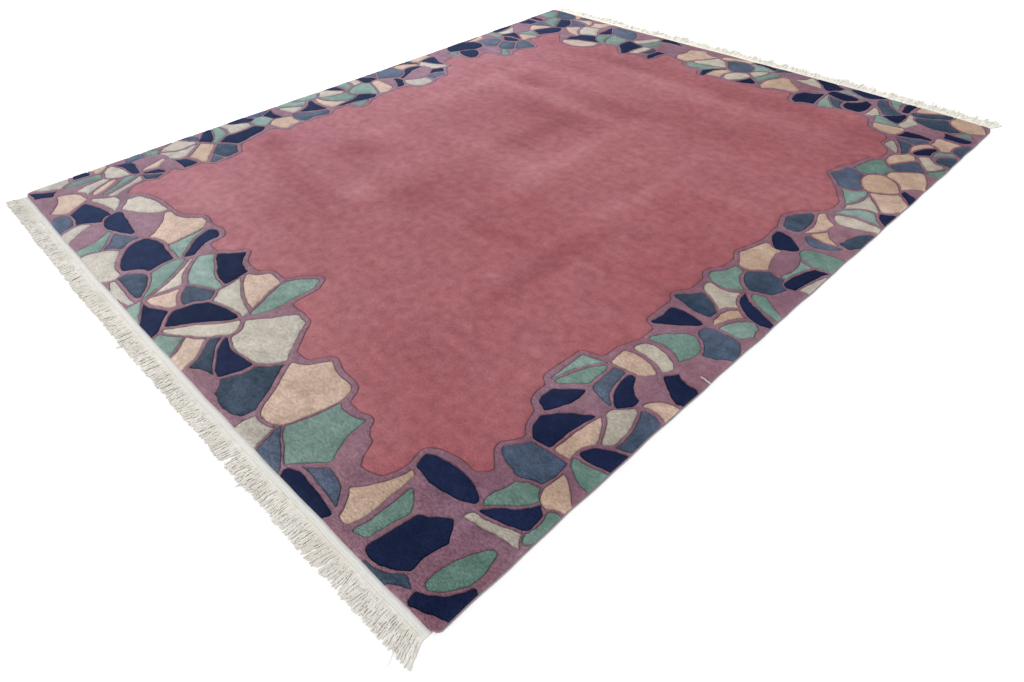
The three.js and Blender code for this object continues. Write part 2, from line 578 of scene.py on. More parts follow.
# %% The carving, and the sheared rim
CARVING = [   # distance from a yarn's edge, and how deep the shears have cut there
    (0.0, 0.0050), (0.0012, 0.0026), (0.0032, 0.0005), (0.0070, 0.0),
]
RIM = [       # distance from the rug's outline, and how far the pile is rounded off there
    (0.0, 0.0050), (0.0012, 0.0034), (0.0035, 0.0018), (0.0080, 0.0005), (0.0135, 0.0),
]
CARVED_ROWS = [distance for distance, _ in CARVING[1:3]]
RIM_ROWS = [distance for distance, _ in RIM[1:]]
GRID_STEP = 0.024
BESIDE = 0.010              # a grid point keeps this far from every yarn's edge
INSIDE_RIM = 0.018          # and this far from the rug's outline
CLOSEST = 0.0015            # a row of points keeps this far from an outline that it runs into
TOO_NEAR = 0.85             # and drops a point that is nearer to an edge than this share of it


def outline_points(inset=0.0):
    """The rug's own outline with its rounded corners, anticlockwise."""
    core, radius = rounded_core(inset)
    points = []
    for right, up, start in ((1, -1, -90), (1, 1, 0), (-1, 1, 90), (-1, -1, 180)):
        for angle in np.radians(np.linspace(start, start + 90, 6)):
            outwards = np.array([math.cos(angle), math.sin(angle)])
            points.append(core * (right, up) + radius * outwards)
    return even_loop(np.array(points), RING_STEP)


def beside(loop, distance):
    """A loop's points moved to its left by a distance."""
    along = np.roll(loop, -1, 0) - np.roll(loop, 1, 0)
    along /= np.hypot(*along.T)[:, None]
    return loop + distance * np.column_stack([-along[:, 1], along[:, 0]])


rug_outline = outline_points()
pattern_loops = stones + [field]
edge_tree = search_tree(pattern_loops, 0.001)
print(len(pattern_loops), "outlines of", sum(map(len, pattern_loops)), "points")


def from_yarn_edge(flat):
    """How far flat points lie from the nearest edge between two yarns."""
    return np.array([edge_tree.find((x, y, 0))[2] for x, y in flat])


# %% The points of the net
def grid_points():
    """A loose grid of triangles over the rug, away from every outline."""
    row_step = GRID_STEP * math.sqrt(3) / 2
    rows = []
    for row, along in enumerate(np.arange(-LENGTH / 2, LENGTH / 2, row_step)):
        across = np.arange(-WIDTH / 2 + (row % 2) * GRID_STEP / 2, WIDTH / 2, GRID_STEP)
        rows.append(np.column_stack([across, np.full(len(across), along)]))
    points = np.vstack(rows)
    points = points[depth_inside(points) > INSIDE_RIM]
    return points[from_yarn_edge(points) > BESIDE]


def row_points():
    """Rows along both sides of every outline, less the points that came too near another."""
    kept = []
    for distance in CARVED_ROWS:
        rows = [beside(loop, side * distance) for loop in pattern_loops for side in (1, -1)]
        points = np.vstack(rows)
        points = points[depth_inside(points) > CLOSEST]
        kept.append(points[from_yarn_edge(points) > TOO_NEAR * distance])
    for distance in RIM_ROWS:
        points = outline_points(distance)
        kept.append(points[from_yarn_edge(points) > CLOSEST])
    return np.vstack(kept)


def net():
    """Points and triangles of the whole pattern, cut off at the rug's outline."""
    loops = pattern_loops + [rug_outline]
    loose = np.vstack([row_points(), grid_points()])
    sides, start = [], 0
    for loop in loops:
        count = len(loop)
        sides.extend((start + i, start + (i + 1) % count) for i in range(count))
        start += count
    points = [Vector(point) for point in np.vstack(loops + [loose])]
    verts, _, faces, *_ = delaunay_2d_cdt(points, sides, [], 0, 1e-6, False)
    verts, faces = np.array([tuple(v) for v in verts]), np.array(faces)
    return verts, faces[depth_inside(verts[faces].mean(1)) > 0]


net_points, net_faces = net()
print(len(net_points), "points and", len(net_faces), "triangles")


# %% Which yarn a place is knotted in
YARNS = ["lilac", "rose", *STONE_YARNS]


def inside(points, loop):
    """Whether points lie in a loop: a level line from each crosses it an odd number of times."""
    order = np.argsort(points[:, 1])
    across, along = points[order].T
    crossings = np.zeros(len(points), int)
    for (x1, y1), (x2, y2) in zip(loop, np.roll(loop, -1, 0)):
        first, last = np.searchsorted(along, sorted((y1, y2)))
        if first < last:
            crossing = x1 + (along[first:last] - y1) * (x2 - x1) / (y2 - y1)
            crossings[first:last] += across[first:last] < crossing
    result = np.empty(len(points), bool)
    result[order] = crossings % 2 == 1
    return result


def stone_at(points):
    """The number of the stone that each point lies in, or -1."""
    found = np.full(len(points), -1)
    for number, loop in enumerate(stones):
        near = np.flatnonzero(((points > loop.min(0)) & (points < loop.max(0))).all(1))
        found[near[inside(points[near], loop)]] = number
    return found


net_middles = net_points[net_faces].mean(1)
net_stones = stone_at(net_middles)
ground = np.where(inside(net_middles, field), YARNS.index("rose"), YARNS.index("lilac"))
stone_yarns = np.array([YARNS.index(yarn) for yarn in yarns])
net_yarns = np.where(net_stones < 0, ground, stone_yarns[net_stones])
print({yarn: int((net_yarns == number).sum()) for number, yarn in enumerate(YARNS)})


# %% Sides between yarns, and the coarse net that they make
def open_sides(faces):
    """The sides that only one of these triangles has, each with its triangle on its left."""
    sides = np.vstack([faces[:, [0, 1]], faces[:, [1, 2]], faces[:, [2, 0]]])
    ahead = sides[:, 0] * len(net_points) + sides[:, 1]
    back = sides[:, 1] * len(net_points) + sides[:, 0]
    return sides[~np.isin(ahead, back)]


def triangles_between(sides):
    """Triangles between the ends of the given sides only."""
    used = np.unique(sides)
    points = [Vector(net_points[number]) for number in used]
    edges = np.unique(np.sort(np.searchsorted(used, sides), axis=1), axis=0).tolist()
    verts, _, faces, *_ = delaunay_2d_cdt(points, edges, [], 0, 1e-7, False)
    assert np.allclose([tuple(v) for v in verts], net_points[used], atol=1e-5)
    return used[np.array(faces)]


def coarse_net(outlines):
    """Coarse triangles, each with the number of the outline round it, for hidden surfaces.

    An outline is a set of sides with its own ground on their left. The triangle on the left of a
    side takes its number and hands it on, but never across a side.
    """
    faces = triangles_between(np.vstack(outlines))
    owners = {}
    for number, sides in enumerate(outlines):
        owners.update({tuple(side): number for side in sides.tolist()})
    rounds = [((a, b), (b, c), (c, a)) for a, b, c in faces.tolist()]
    holder = {side: index for index, sides in enumerate(rounds) for side in sides}
    found = np.full(len(faces), -1)
    for side, number in owners.items():
        found[holder[side]] = number
    waiting = np.flatnonzero(found >= 0).tolist()
    while waiting:
        index = waiting.pop()
        for side in rounds[index]:
            other = holder.get(side[::-1], -1)
            if side not in owners and other >= 0 and found[other] < 0:
                found[other] = found[index]
                waiting.append(other)
    return faces[found >= 0], found[found >= 0]


yarn_sides = [open_sides(net_faces[net_yarns == number]) for number in range(len(YARNS))]
rug_sides = open_sides(net_faces)
base_faces, base_yarns = coarse_net(yarn_sides)
print(len(base_faces), "triangles on the underside")

# %% The dye lot of each stone
LOT_CONTRAST = 0.65         # below 1, more stones lie close to one lot or the other
EVEN_MIX = 0.5

stone_lots = np.array([dice.random() for _ in stones]) * 2 - 1
stone_lots = 0.5 + 0.5 * np.sign(stone_lots) * abs(stone_lots) ** LOT_CONTRAST
net_lots = np.full(len(net_points), EVEN_MIX)
net_lots[net_faces[net_stones >= 0]] = stone_lots[net_stones[net_stones >= 0]][:, None]
print("lots from", stone_lots.min().round(2), "to", stone_lots.max().round(2))

# %% [markdown]
# ## The pile
# Each yarn colour becomes one closed piece: its sheared top, walls down along its outlines, and
# an underside on the foundation. Neighbouring yarns stand a hair apart, as cut pile does, and
# the shears have bevelled both sides of the gap. Along the rug's own edge the pile leans out over
# the foundation, so the wall there runs out again above its foot.

# %% Heights of the pile
PILE_FOOT = 0.0036          # the underside of the pile
WALL_BELLY = 0.0072         # where the leaning wall stands out furthest
LEAST_WALL = 0.0008         # and how much higher the pile's top always is
FOOT_INSET = 0.0030         # how far the foot stands in from the rug's outline
HAIR = 0.0001               # how far each yarn keeps from the line between two


def unevenness(flat):
    """A hand-sheared pile is never quite level: a few slow waves, less than half a millimetre."""
    across, along = flat.T
    waves = 0.00022 * np.sin(across * 17 + 2 * np.sin(along * 5))
    return waves + 0.00018 * np.sin(along * 23 + 1.5 * np.sin(across * 9) + 1)


def carved_depth(flat):
    """How deep the shears have cut at flat points."""
    return np.interp(from_yarn_edge(flat), *zip(*CARVING))


def pile_height(flat):
    rounded = np.interp(depth_inside(flat), *zip(*RIM))
    height = PILE_TOP - carved_depth(flat) - rounded + unevenness(flat)
    return np.maximum(height, WALL_BELLY + LEAST_WALL)


net_height = pile_height(net_points)
print("pile from", net_height.min().round(4), "to", net_height.max().round(4), "m")


# %% A mesh from arrays
def new_piece(name, verts, faces, flat):
    """A mesh object from arrays, with its flat coordinates as the weave UV map."""
    mesh = bpy.data.meshes.new(name)
    mesh.vertices.add(len(verts))
    mesh.vertices.foreach_set("co", verts.astype(np.float32).ravel())
    mesh.loops.add(faces.size)
    mesh.loops.foreach_set("vertex_index", faces.astype(np.int32).ravel())
    mesh.polygons.add(len(faces))
    mesh.polygons.foreach_set("loop_start", np.arange(0, faces.size, 3, dtype=np.int32))
    mesh.update(calc_edges=True)
    weave = mesh.uv_layers.new(name="weave")
    weave.uv.foreach_set("vector", flat[faces.ravel()].astype(np.float32).ravel())
    return placed(name, mesh)


def numbered(points, first=0):
    """For every point of the net, its place in a list of some of them, or -1."""
    places = np.full(len(net_points), -1)
    places[points] = first + np.arange(len(points))
    return places


def with_values(piece, **values):
    """Stores a number on each point of a piece, under each of the given names."""
    for name, numbers in values.items():
        stored = piece.data.attributes.new(name, "FLOAT", "POINT")
        stored.data.foreach_set("value", numbers)


def walls(sides, low, high):
    """Two triangles for each side, between a low and a high row; the piece is on its left."""
    a, b = sides.T
    lower = np.column_stack([low[a], low[b], high[b]])
    upper = np.column_stack([low[a], high[b], high[a]])
    return np.vstack([lower, upper])


# %% [markdown]
# The pile's lay catches the light unevenly, and that is painted into its colour: paler streaks and
# darker patches lie across the field in a loose grid, and the near left end is paler than the
# rest.
# All round the rug the last few millimetres are painted paler too, as light catches the fuzz
# there.

# %% Where painted sheen and shade show the pile's lay
MARK_STRENGTH = 1.2
RIM_LIGHT = 1.8              # how much paler the pile is painted at the rug's own edge, as light on its fuzz
RIM_LIGHT_REACH = 0.005      # and how soon that fades inwards
NAP_MARKS = [   # across, along, half its size across and along, and how much paler it is painted
    (-0.38, -1.40, 0.82, 0.30, 2.2),      # the pale near left end
    (-0.62, -1.02, 0.35, 0.10, 0.8),
    (-0.90, 0.76, 0.12, 0.14, 0.6),
    (-0.72, 0.45, 0.05, 0.36, 0.9),       # pale streaks along the rug
    (0.11, 0.10, 0.055, 0.45, 1.0),
    (0.50, 0.12, 0.035, 0.42, 0.8),
    (0.10, 0.97, 0.70, 0.06, 0.8),        # pale streaks across it
    (-0.50, 0.77, 0.28, 0.04, 0.9),
    (-0.25, 0.515, 0.35, 0.035, 0.8),
    (0.75, 0.28, 0.16, 0.04, 1.0),
    (-0.20, -0.05, 0.30, 0.05, 0.8),
    (0.30, 0.24, 0.20, 0.14, 0.6),        # pale patches between them
    (-0.66, -0.22, 0.07, 0.09, 0.6),
    (-0.28, -0.59, 0.08, 0.06, 1.1),
    (0.47, -0.63, 0.035, 0.03, 1.1),
    (-0.40, 1.07, 0.50, 0.05, -0.8),      # darker patches
    (0.45, 1.12, 0.45, 0.06, -0.9),
    (0.90, 1.12, 0.12, 0.14, -1.0),
    (-0.56, 0.61, 0.13, 0.035, -1.5),
    (-0.08, 0.64, 0.24, 0.06, -1.1),
    (0.45, 0.72, 0.30, 0.11, -0.8),
    (-0.38, 0.40, 0.26, 0.08, -1.0),
    (-0.14, 0.22, 0.06, 0.26, -1.2),
    (-0.58, -0.39, 0.12, 0.10, -1.2),
    (-0.12, -0.47, 0.12, 0.13, -1.3),
    (0.34, -0.45, 0.16, 0.03, -1.1),
    (0.57, -0.48, 0.045, 0.27, -1.0),
    (-0.90, -0.60, 0.09, 0.08, -1.4),
    (-0.50, -0.71, 0.25, 0.06, -0.7),
]


def nap_light_at(flat, stray=0.035):
    """How much paler the pile is painted at flat points: soft marks of sheen and shade, wandering.
    """
    drift = [[stray * soft_noise(x, y, 5, layer) for layer in (60.5, 61.5)] for x, y in flat]
    across, along = (flat + drift).T
    total = RIM_LIGHT * np.exp(-np.maximum(depth_inside(flat), 0) / RIM_LIGHT_REACH)
    for middle_x, middle_y, half_x, half_y, paler in NAP_MARKS:
        away = ((across - middle_x) / half_x) ** 2 + ((along - middle_y) / half_y) ** 2
        total += MARK_STRENGTH * paler * np.exp(-away)
    return total


# %% One piece of pile for each yarn
FOOT_SHADE = 0.8            # how deep the painted shade at the foot of the pile is, at least
SHARPEST_PILE = 62          # degrees; the pile is shaded smooth across any lesser corner


def drawn_back(sides):
    """Flat points, with those on the given sides moved a hair into the piece on the left."""
    along = net_points[sides[:, 1]] - net_points[sides[:, 0]]
    inwards = np.column_stack([-along[:, 1], along[:, 0]])
    inwards /= np.maximum(np.hypot(*inwards.T), 1e-9)[:, None]
    push = np.zeros_like(net_points)
    for end in (0, 1):
        np.add.at(push, sides[:, end], inwards)
    length = np.hypot(*push.T)
    return net_points + HAIR * push / np.maximum(length, 1e-9)[:, None]


def pile_of(yarn):
    """A yarn's pile as a closed piece, with carving, dye lot and painted nap light on its points.
    """
    number = YARNS.index(yarn)
    faces, sides = net_faces[net_yarns == number], yarn_sides[number]
    top, rim = np.unique(faces), np.unique(sides)
    flat = drawn_back(sides)
    all_flat = np.vstack([flat[top], flat[rim], tucked(flat[rim], FOOT_INSET)])
    heights = [net_height[top], np.full(len(rim), WALL_BELLY), np.full(len(rim), PILE_FOOT)]
    verts = np.column_stack([laid(all_flat), np.concatenate(heights)])
    at_top, at_belly = numbered(top), numbered(rim, len(top))
    at_foot = numbered(rim, len(top) + len(rim))
    under = at_foot[base_faces[base_yarns == number]][:, ::-1]
    assert under.min() >= 0
    rows = [at_top[faces], walls(sides, at_belly, at_top), walls(sides, at_foot, at_belly), under]
    piece = new_piece(f"{yarn}_pile_tufts", verts, np.vstack(rows), all_flat)
    at_rim = carved_depth(net_points[rim])
    carved = np.concatenate([carved_depth(flat[top]), at_rim, at_rim]) / CARVING[0][1]
    # the foot of every wall is painted in shade, at least this deeply
    carved[-len(rim):] = np.maximum(carved[-len(rim):], FOOT_SHADE)
    lots = net_lots[np.concatenate([top, rim, rim])]
    lots = lots if yarn in STONE_YARNS else np.full(len(lots), EVEN_MIX)
    with_values(piece, carved=carved, dye_lot=lots, worn=nap_light_at(all_flat))
    piece.data.set_sharp_from_angle(angle=math.radians(SHARPEST_PILE))
    return piece


piles = {yarn: pile_of(yarn) for yarn in YARNS}
for yarn, piece in piles.items():
    print(piece.name, len(piece.data.polygons), "triangles")

# %% [markdown]
# ## Building with nodes
# Materials and repeated parts are both made of nodes here, and small helpers keep that short:
# `put` adds a node and joins its inputs, `plus` and `times` add and multiply, and `ramp` turns a
# value's range into another range. `grain` is a noise, and `patches` gives it its own range.

# %% Helpers for all nodes
NOISE_AWAY = (7.31, 4.87, 2.73)     # metres from a noise's origin to the rug's middle
NOISE_LOW = 0.3             # most of a noise lies between these two
NOISE_HIGH = 0.7


def put(tree, kind, inputs=None, **settings):
    """Adds a node. Each input is given a value, or is joined to another node's output."""
    node = tree.nodes.new(kind)
    for name, value in settings.items():
        setattr(node, name, value)
    for key, value in (inputs or {}).items():
        if isinstance(value, bpy.types.NodeSocket):
            tree.links.new(value, node.inputs[key])
        else:
            node.inputs[key].default_value = value
    return node


def maths(tree, operation, *values):
    return put(tree, "ShaderNodeMath", dict(enumerate(values)), operation=operation).outputs[0]


def plus(tree, total, *values):
    for value in values:
        total = maths(tree, "ADD", total, value)
    return total


def times(tree, total, *values):
    for value in values:
        total = maths(tree, "MULTIPLY", total, value)
    return total


def ramp(tree, value, low, high, to_low=0.0, to_high=1.0):
    inputs = {0: value, 1: low, 2: high, 3: to_low, 4: to_high}
    return put(tree, "ShaderNodeMapRange", inputs).outputs[0]


def grain(tree, place, scale, detail=2.0, stretch=None):
    """A noise of the given number of grains to the metre, from about 0 to 1.

    Its octaves all meet at the origin and draw a star there, so the origin is kept far away.
    """
    place = put(tree, "ShaderNodeVectorMath", {0: place, 1: NOISE_AWAY}).outputs[0]
    if stretch:
        place = put(tree, "ShaderNodeMapping", {0: place, 3: stretch}).outputs[0]
    inputs = {"Vector": place, "Scale": scale, "Detail": detail}
    return put(tree, "ShaderNodeTexNoise", inputs).outputs[0]


def patches(tree, place, scale, detail, low, high, stretch=None):
    """Soft patches of noise, from a low to a high value."""
    noisy = grain(tree, place, scale, detail, stretch)
    return ramp(tree, noisy, NOISE_LOW, NOISE_HIGH, low, high)


# %% Helpers for materials
def new_material(name):
    material = bpy.data.materials.new(name)
    material.use_nodes = True
    return material, material.node_tree


def in_space(tree):
    return put(tree, "ShaderNodeTexCoord").outputs["Object"]


def apart(tree, place):
    """The three numbers of a place."""
    return put(tree, "ShaderNodeSeparateXYZ", {0: place}).outputs


def weave_map(tree):
    """The weave map, with the place across and the place along the rug that it holds."""
    weave = put(tree, "ShaderNodeUVMap", uv_map="weave").outputs[0]
    across, along, _ = apart(tree, weave)
    return weave, across, along


def stored(tree, name, output="Fac"):
    """What the mesh has stored under a name."""
    return put(tree, "ShaderNodeAttribute", attribute_name=name).outputs[output]


def wave(tree, place, pitch):
    """A sine, from -1 to 1, that comes round again at every pitch."""
    return maths(tree, "SINE", times(tree, place, math.tau / pitch))


def blended(tree, share, first, second, blend="MIX"):
    """Two colours mixed; a share of 1 gives the second."""
    inputs = {0: share, 6: first, 7: second}
    settings = {"data_type": "RGBA", "blend_type": blend}
    return put(tree, "ShaderNodeMix", inputs, **settings).outputs[2]


def toned(tree, colour, level):
    """A colour made lighter or darker by one number."""
    grey = put(tree, "ShaderNodeCombineColor", {0: level, 1: level, 2: level}).outputs[0]
    return blended(tree, 1.0, colour, grey, "MULTIPLY")


def finish_cloth(tree, colour, height, relief, strength, rough, gloss, bloom=0.0):
    """Gives the shader its colour, bump and roughness, and its constant gloss and bloom."""
    shader = tree.nodes["Principled BSDF"]
    bump = {"Height": height, "Distance": relief, "Strength": strength}
    tree.links.new(put(tree, "ShaderNodeBump", bump).outputs[0], shader.inputs["Normal"])
    tree.links.new(colour, shader.inputs["Base Color"])
    tree.links.new(rough, shader.inputs["Roughness"])
    shader.inputs["Specular IOR Level"].default_value = gloss
    shader.inputs["Sheen Weight"].default_value = bloom
    return shader


# %% [markdown]
# ## Wool pile
# Sheared wool is matt, with a soft bloom where it is seen at a low angle, which is the shader's
# sheen. Three scales make it look knotted: rows of knots a few millimetres apart, with painted
# shade in the gaps and a painted highlight on each row, the tufts in them, and slow clouds of
# lighter and deeper dye, partly painted sheen. The rows follow the weave map, and they are crisp
# near the right front corner and felted together further off. A painted sheen pales the dyes
# towards the left side, where the window's light falls, and painted sheen and shade show the
# pile's lay. Carved slopes carry painted shade, as little light reaches into them. Wool is dyed
# in lots that never quite match, so each stone carries a number for its own mix of two lots.

# %% The dye
PAINTED_SHEEN = (0.008, 0.015, 0.028, 1)     # painted sheen, added to every dye towards the left side, where the window's light falls
LUMINANCE = (0.25, 0.60, 0.15)          # how much of each channel counts in a dye's own grey
PALE_KEEPS = 0.92           # how much of its colour the pale dye keeps, faded or under painted sheen
PALE_GREY = 0.36            # and how much of its own grey is added
SMUDGE = 0.55               # how strong smudges and streaks are, where the slow clouds are 1
STREAK = 0.35
STREAK_PACE = (5.0, 40.0, 1.0)
LOT_DRIFT = 0.3             # how far the mix of the two lots drifts within a stone
SHEEN_PALE_RIGHT = 0.20          # how pale the painted sheen makes the dye at the right side, and at the left
SHEEN_PALE_LEFT = 0.62
PALE_CLOUDS = 0.36         # how much more where a cloud is light
SHEEN_FROM = 0.2            # where the painted sheen starts, across the rug, and where it is full
SHEEN_TO = -1.25


def faded_and_sheened(colour):
    """The same dye where it has faded and where painted sheen pales it: a little greyer and paler.
    """
    grey = sum(share * channel for share, channel in zip(LUMINANCE, colour))
    return (*(PALE_KEEPS * channel + PALE_GREY * grey for channel in colour), 1)


def wool_clouds(tree, weave, cloudy):
    """Slow clouds, smudges and streaks, part dye, part painted sheen, and the nap light, about
    zero.
    """
    slow = patches(tree, weave, 1.8, 5, -1.0, 1.0)
    smudge = patches(tree, weave, 12, 4, -SMUDGE, SMUDGE)
    streak = patches(tree, weave, 1.0, 3, -STREAK, STREAK, STREAK_PACE)
    return plus(tree, times(tree, plus(tree, slow, smudge, streak), cloudy), stored(tree, "worn"))


def wool_dye(tree, plain, other, clouds, tips):
    """Two lots of dye, fresh or pale, with painted sheen paling them towards the left."""
    weave, across, _ = weave_map(tree)
    drift = patches(tree, weave, 7.5, 4, -LOT_DRIFT, LOT_DRIFT)
    lot = plus(tree, stored(tree, "dye_lot"), drift)
    fresh = blended(tree, lot, (*plain, 1), (*other, 1))
    pale = blended(tree, lot, faded_and_sheened(plain), faded_and_sheened(other))
    # painted sheen: the dye is paler towards the left, where the window's light falls
    fading = ramp(tree, across, 1.1, -1.1, SHEEN_PALE_RIGHT, SHEEN_PALE_LEFT)
    fading = plus(tree, fading, plus(tree, times(tree, clouds, PALE_CLOUDS), tips))
    colour = blended(tree, fading, fresh, pale)
    # painted sheen added towards the left side
    return blended(tree, ramp(tree, across, SHEEN_FROM, SHEEN_TO), colour, PAINTED_SHEEN, "ADD")


# %% The rows of knots, the tufts and the carved slopes
ROW_PITCH = 0.0046          # between rows of knots
KNOT_PITCH = 0.0052         # between the knots of a row
TUFTS = (130, 240, 1)       # to the metre, across and along
TUFT_LOW = 0.28             # most of the tufts' noise lies between these two
TUFT_HIGH = 0.72
TUFT_SHADE = 0.25           # how much darker or lighter than the rest a tuft can be
ROW_SHADE = 0.105           # how much darker the painted shade in the gaps makes coarse wool, crisp or not
GAP_SHADE = 0.095           # how much darker yet the painted shade in the gap between two crisp rows is
ROW_LIGHT = 0.185           # and how much lighter the painted highlight on the row
SLOPE_SHADE = (0.52, 0.88)  # the darkest and the lightest painted shade at a carved slope's foot
CLOUD_SHADE = 0.10


def about(tree, level, crisp, reach):
    """A level, raised by its reach where the knots are crisp."""
    return maths(tree, "MULTIPLY_ADD", crisp, reach, level)


def wool_shade(tree, ribbed, tufts, crisp, clouds, mottled, coarse):
    """How light the wool is: random tufts, painted shade between rows and in the carving."""
    weave = weave_map(tree)[0]
    dark_tuft = about(tree, 1.0, crisp, -TUFT_SHADE * coarse)
    speck = ramp(tree, tufts, TUFT_LOW, TUFT_HIGH, dark_tuft,
                 about(tree, 1.0, crisp, TUFT_SHADE * coarse))
    mottle = patches(tree, weave, 30, 4, 1 - mottled, 1 + mottled)
    # painted shade in the gaps between rows, and a painted highlight on each row
    level = 1 - ROW_SHADE * coarse
    gap = about(tree, level, crisp, -GAP_SHADE * coarse)
    between = ramp(tree, ribbed, 0, 1, gap, about(tree, level, crisp, ROW_LIGHT * coarse))
    # painted shade deep in the carving, where little light reaches
    deepest = ramp(tree, grain(tree, weave, 40, 2), 0.35, 0.65, *SLOPE_SHADE)
    slope = ramp(tree, stored(tree, "carved"), 0.2, 1.0, 1.0, deepest)
    cloud = plus(tree, times(tree, clouds, CLOUD_SHADE), 1.0)
    return times(tree, times(tree, between, slope), times(tree, speck, mottle), cloud)


# %% The wool material
ROW_WOBBLE = 0.0016         # how far a row strays from its line
FELTED_LEFT = 0.5           # how crisp the rows still are at the left side,
FELTED_FAR = 0.55           # and away from the near end
TIP_FADE = 0.20             # how much more or less the tips of a tuft have faded
RELIEF = {"rows": 0.5, "knots": 0.12, "tufts": 1.1, "fibres": 0.25}
PILE_RELIEF = 0.0019        # the height of that relief, in metres
WOOL_ROUGH = (0.82, 0.98)
SHEEN_TINT = (1.0, 0.92, 0.98, 1)


def wool(name, plain, other, cloudy, mottled, coarse, bloom):
    """Dyed wool of two lots: how uneven its dye and how coarse its tufts, and its pale bloom."""
    material, tree = new_material(name)
    weave, across, along = weave_map(tree)
    wobble = ramp(tree, grain(tree, weave, 22, 3), 0, 1, -ROW_WOBBLE, ROW_WOBBLE)
    rows = ramp(tree, wave(tree, plus(tree, along, wobble), ROW_PITCH), -1, 1)
    knots = ramp(tree, wave(tree, plus(tree, across, wobble), KNOT_PITCH), -1, 1)
    tufts = grain(tree, weave, 1, 3, TUFTS)
    fibre = grain(tree, in_space(tree), 1500, 2)
    patchy = ramp(tree, grain(tree, weave, 13, 3), 0.35, 0.65, 0.35, 1.0)
    ribbed = times(tree, rows, patchy)
    crisp = times(tree, ramp(tree, across, -1.2, 0.3, FELTED_LEFT, 1.0),
                  ramp(tree, along, -1.3, -0.4, 1.0, FELTED_FAR))

    clouds = wool_clouds(tree, weave, cloudy)
    tips = ramp(tree, tufts, TUFT_LOW, TUFT_HIGH, -TIP_FADE, TIP_FADE)
    colour = wool_dye(tree, plain, other, clouds, tips)
    colour = toned(tree, colour, wool_shade(tree, ribbed, tufts, crisp, clouds, mottled, coarse))
    height = plus(tree, times(tree, ribbed, RELIEF["rows"]), times(tree, knots, RELIEF["knots"]),
                  times(tree, tufts, RELIEF["tufts"]), times(tree, fibre, RELIEF["fibres"]))
    strength = times(tree, crisp, min(1.0, 0.45 + 0.35 * coarse))
    rough = ramp(tree, tufts, NOISE_LOW, NOISE_HIGH, *WOOL_ROUGH)
    sheen = 0.03 + bloom
    shader = finish_cloth(tree, colour, height, PILE_RELIEF, strength, rough, sheen, bloom)
    shader.inputs["Sheen Roughness"].default_value = 0.5
    shader.inputs["Sheen Tint"].default_value = SHEEN_TINT
    return material


# %% The seven wools
WOOL_DYES = {   # two dye lots in linear light, how cloudy, mottled and coarse, and the bloom
    "rose": ((0.288, 0.078, 0.090), (0.278, 0.084, 0.100), 0.6, 0.15, 0.55, 0.06),
    "lilac": ((0.222, 0.096, 0.124), (0.200, 0.106, 0.158), 1.0, 0.14, 1.4, 0.06),
    "navy": ((0.007, 0.012, 0.040), (0.011, 0.018, 0.058), 0.6, 0.12, 1.2, 0.0),
    "slate": ((0.021, 0.043, 0.074), (0.068, 0.095, 0.155), 1.2, 0.16, 1.7, 0.05),
    "green": ((0.101, 0.183, 0.153), (0.163, 0.252, 0.220), 0.9, 0.12, 1.3, 0.05),
    "peach": ((0.400, 0.266, 0.187), (0.442, 0.310, 0.238), 0.8, 0.12, 1.2, 0.05),
    "cream": ((0.330, 0.298, 0.254), (0.392, 0.347, 0.277), 0.7, 0.12, 1.2, 0.05),
}
for yarn, dye in WOOL_DYES.items():
    piles[yarn].data.materials.append(wool(f"{yarn} wool", *dye))
print(len(WOOL_DYES), "dyed wools")

# %% [markdown]
# ## The woven foundation
# Warps and wefts hold the knots, and the back of a hand-knotted rug shows every knot in its
# yarn's colour. The foundation is one thin closed sheet. Its underside uses the coarse net, and
# a colour on every face corner repeats the pattern there, as on the real back.

# %% The sheet that carries the pile
BASE_TOP = 0.0033           # just under the foot of the pile
BASE_INSET = 0.0040
SHARPEST_BASE = 40          # degrees
WARP_COTTON = (0.50, 0.45, 0.38)


def make_foundation():
    rim, under = np.unique(rug_sides), np.unique(base_faces)
    low, high = tucked(net_points[under], BASE_INSET), tucked(net_points[rim], BASE_INSET)
    all_flat = np.vstack([low, high])
    heights = np.concatenate([np.zeros(len(under)), np.full(len(rim), BASE_TOP)])
    at_low, at_high = numbered(under), numbered(rim, len(under))
    rows = [at_low[base_faces][:, ::-1], walls(rug_sides, at_low, at_high),
            at_high[coarse_net([rug_sides])[0]]]
    verts = np.column_stack([laid(all_flat), heights])
    sheet = new_piece("foundation_sheet", verts, np.vstack(rows), all_flat)
    dyes = np.array([WOOL_DYES[yarn][0] for yarn in YARNS])
    colours = np.tile(WARP_COTTON, (len(sheet.data.polygons), 1))
    colours[:len(base_faces)] = dyes[base_yarns]
    shown = np.column_stack([np.repeat(colours, 3, axis=0), np.ones(3 * len(colours))])
    knots = sheet.data.attributes.new("knot_dye", "FLOAT_COLOR", "CORNER")
    knots.data.foreach_set("color", shown.astype(np.float32).ravel())
    sheet.data.set_sharp_from_angle(angle=math.radians(SHARPEST_BASE))
    return sheet


foundation = make_foundation()
print("foundation", len(foundation.data.polygons), "triangles")


# %% Knot backs
BACK_WOBBLE = 0.0008
BACK_RELIEF = 0.0012
GAP_BETWEEN = 0.45          # how light the painted shade between two knot backs leaves it
LEAST_DUST = 0.05           # how much of the cotton's colour dulls them
MOST_DUST = 0.22


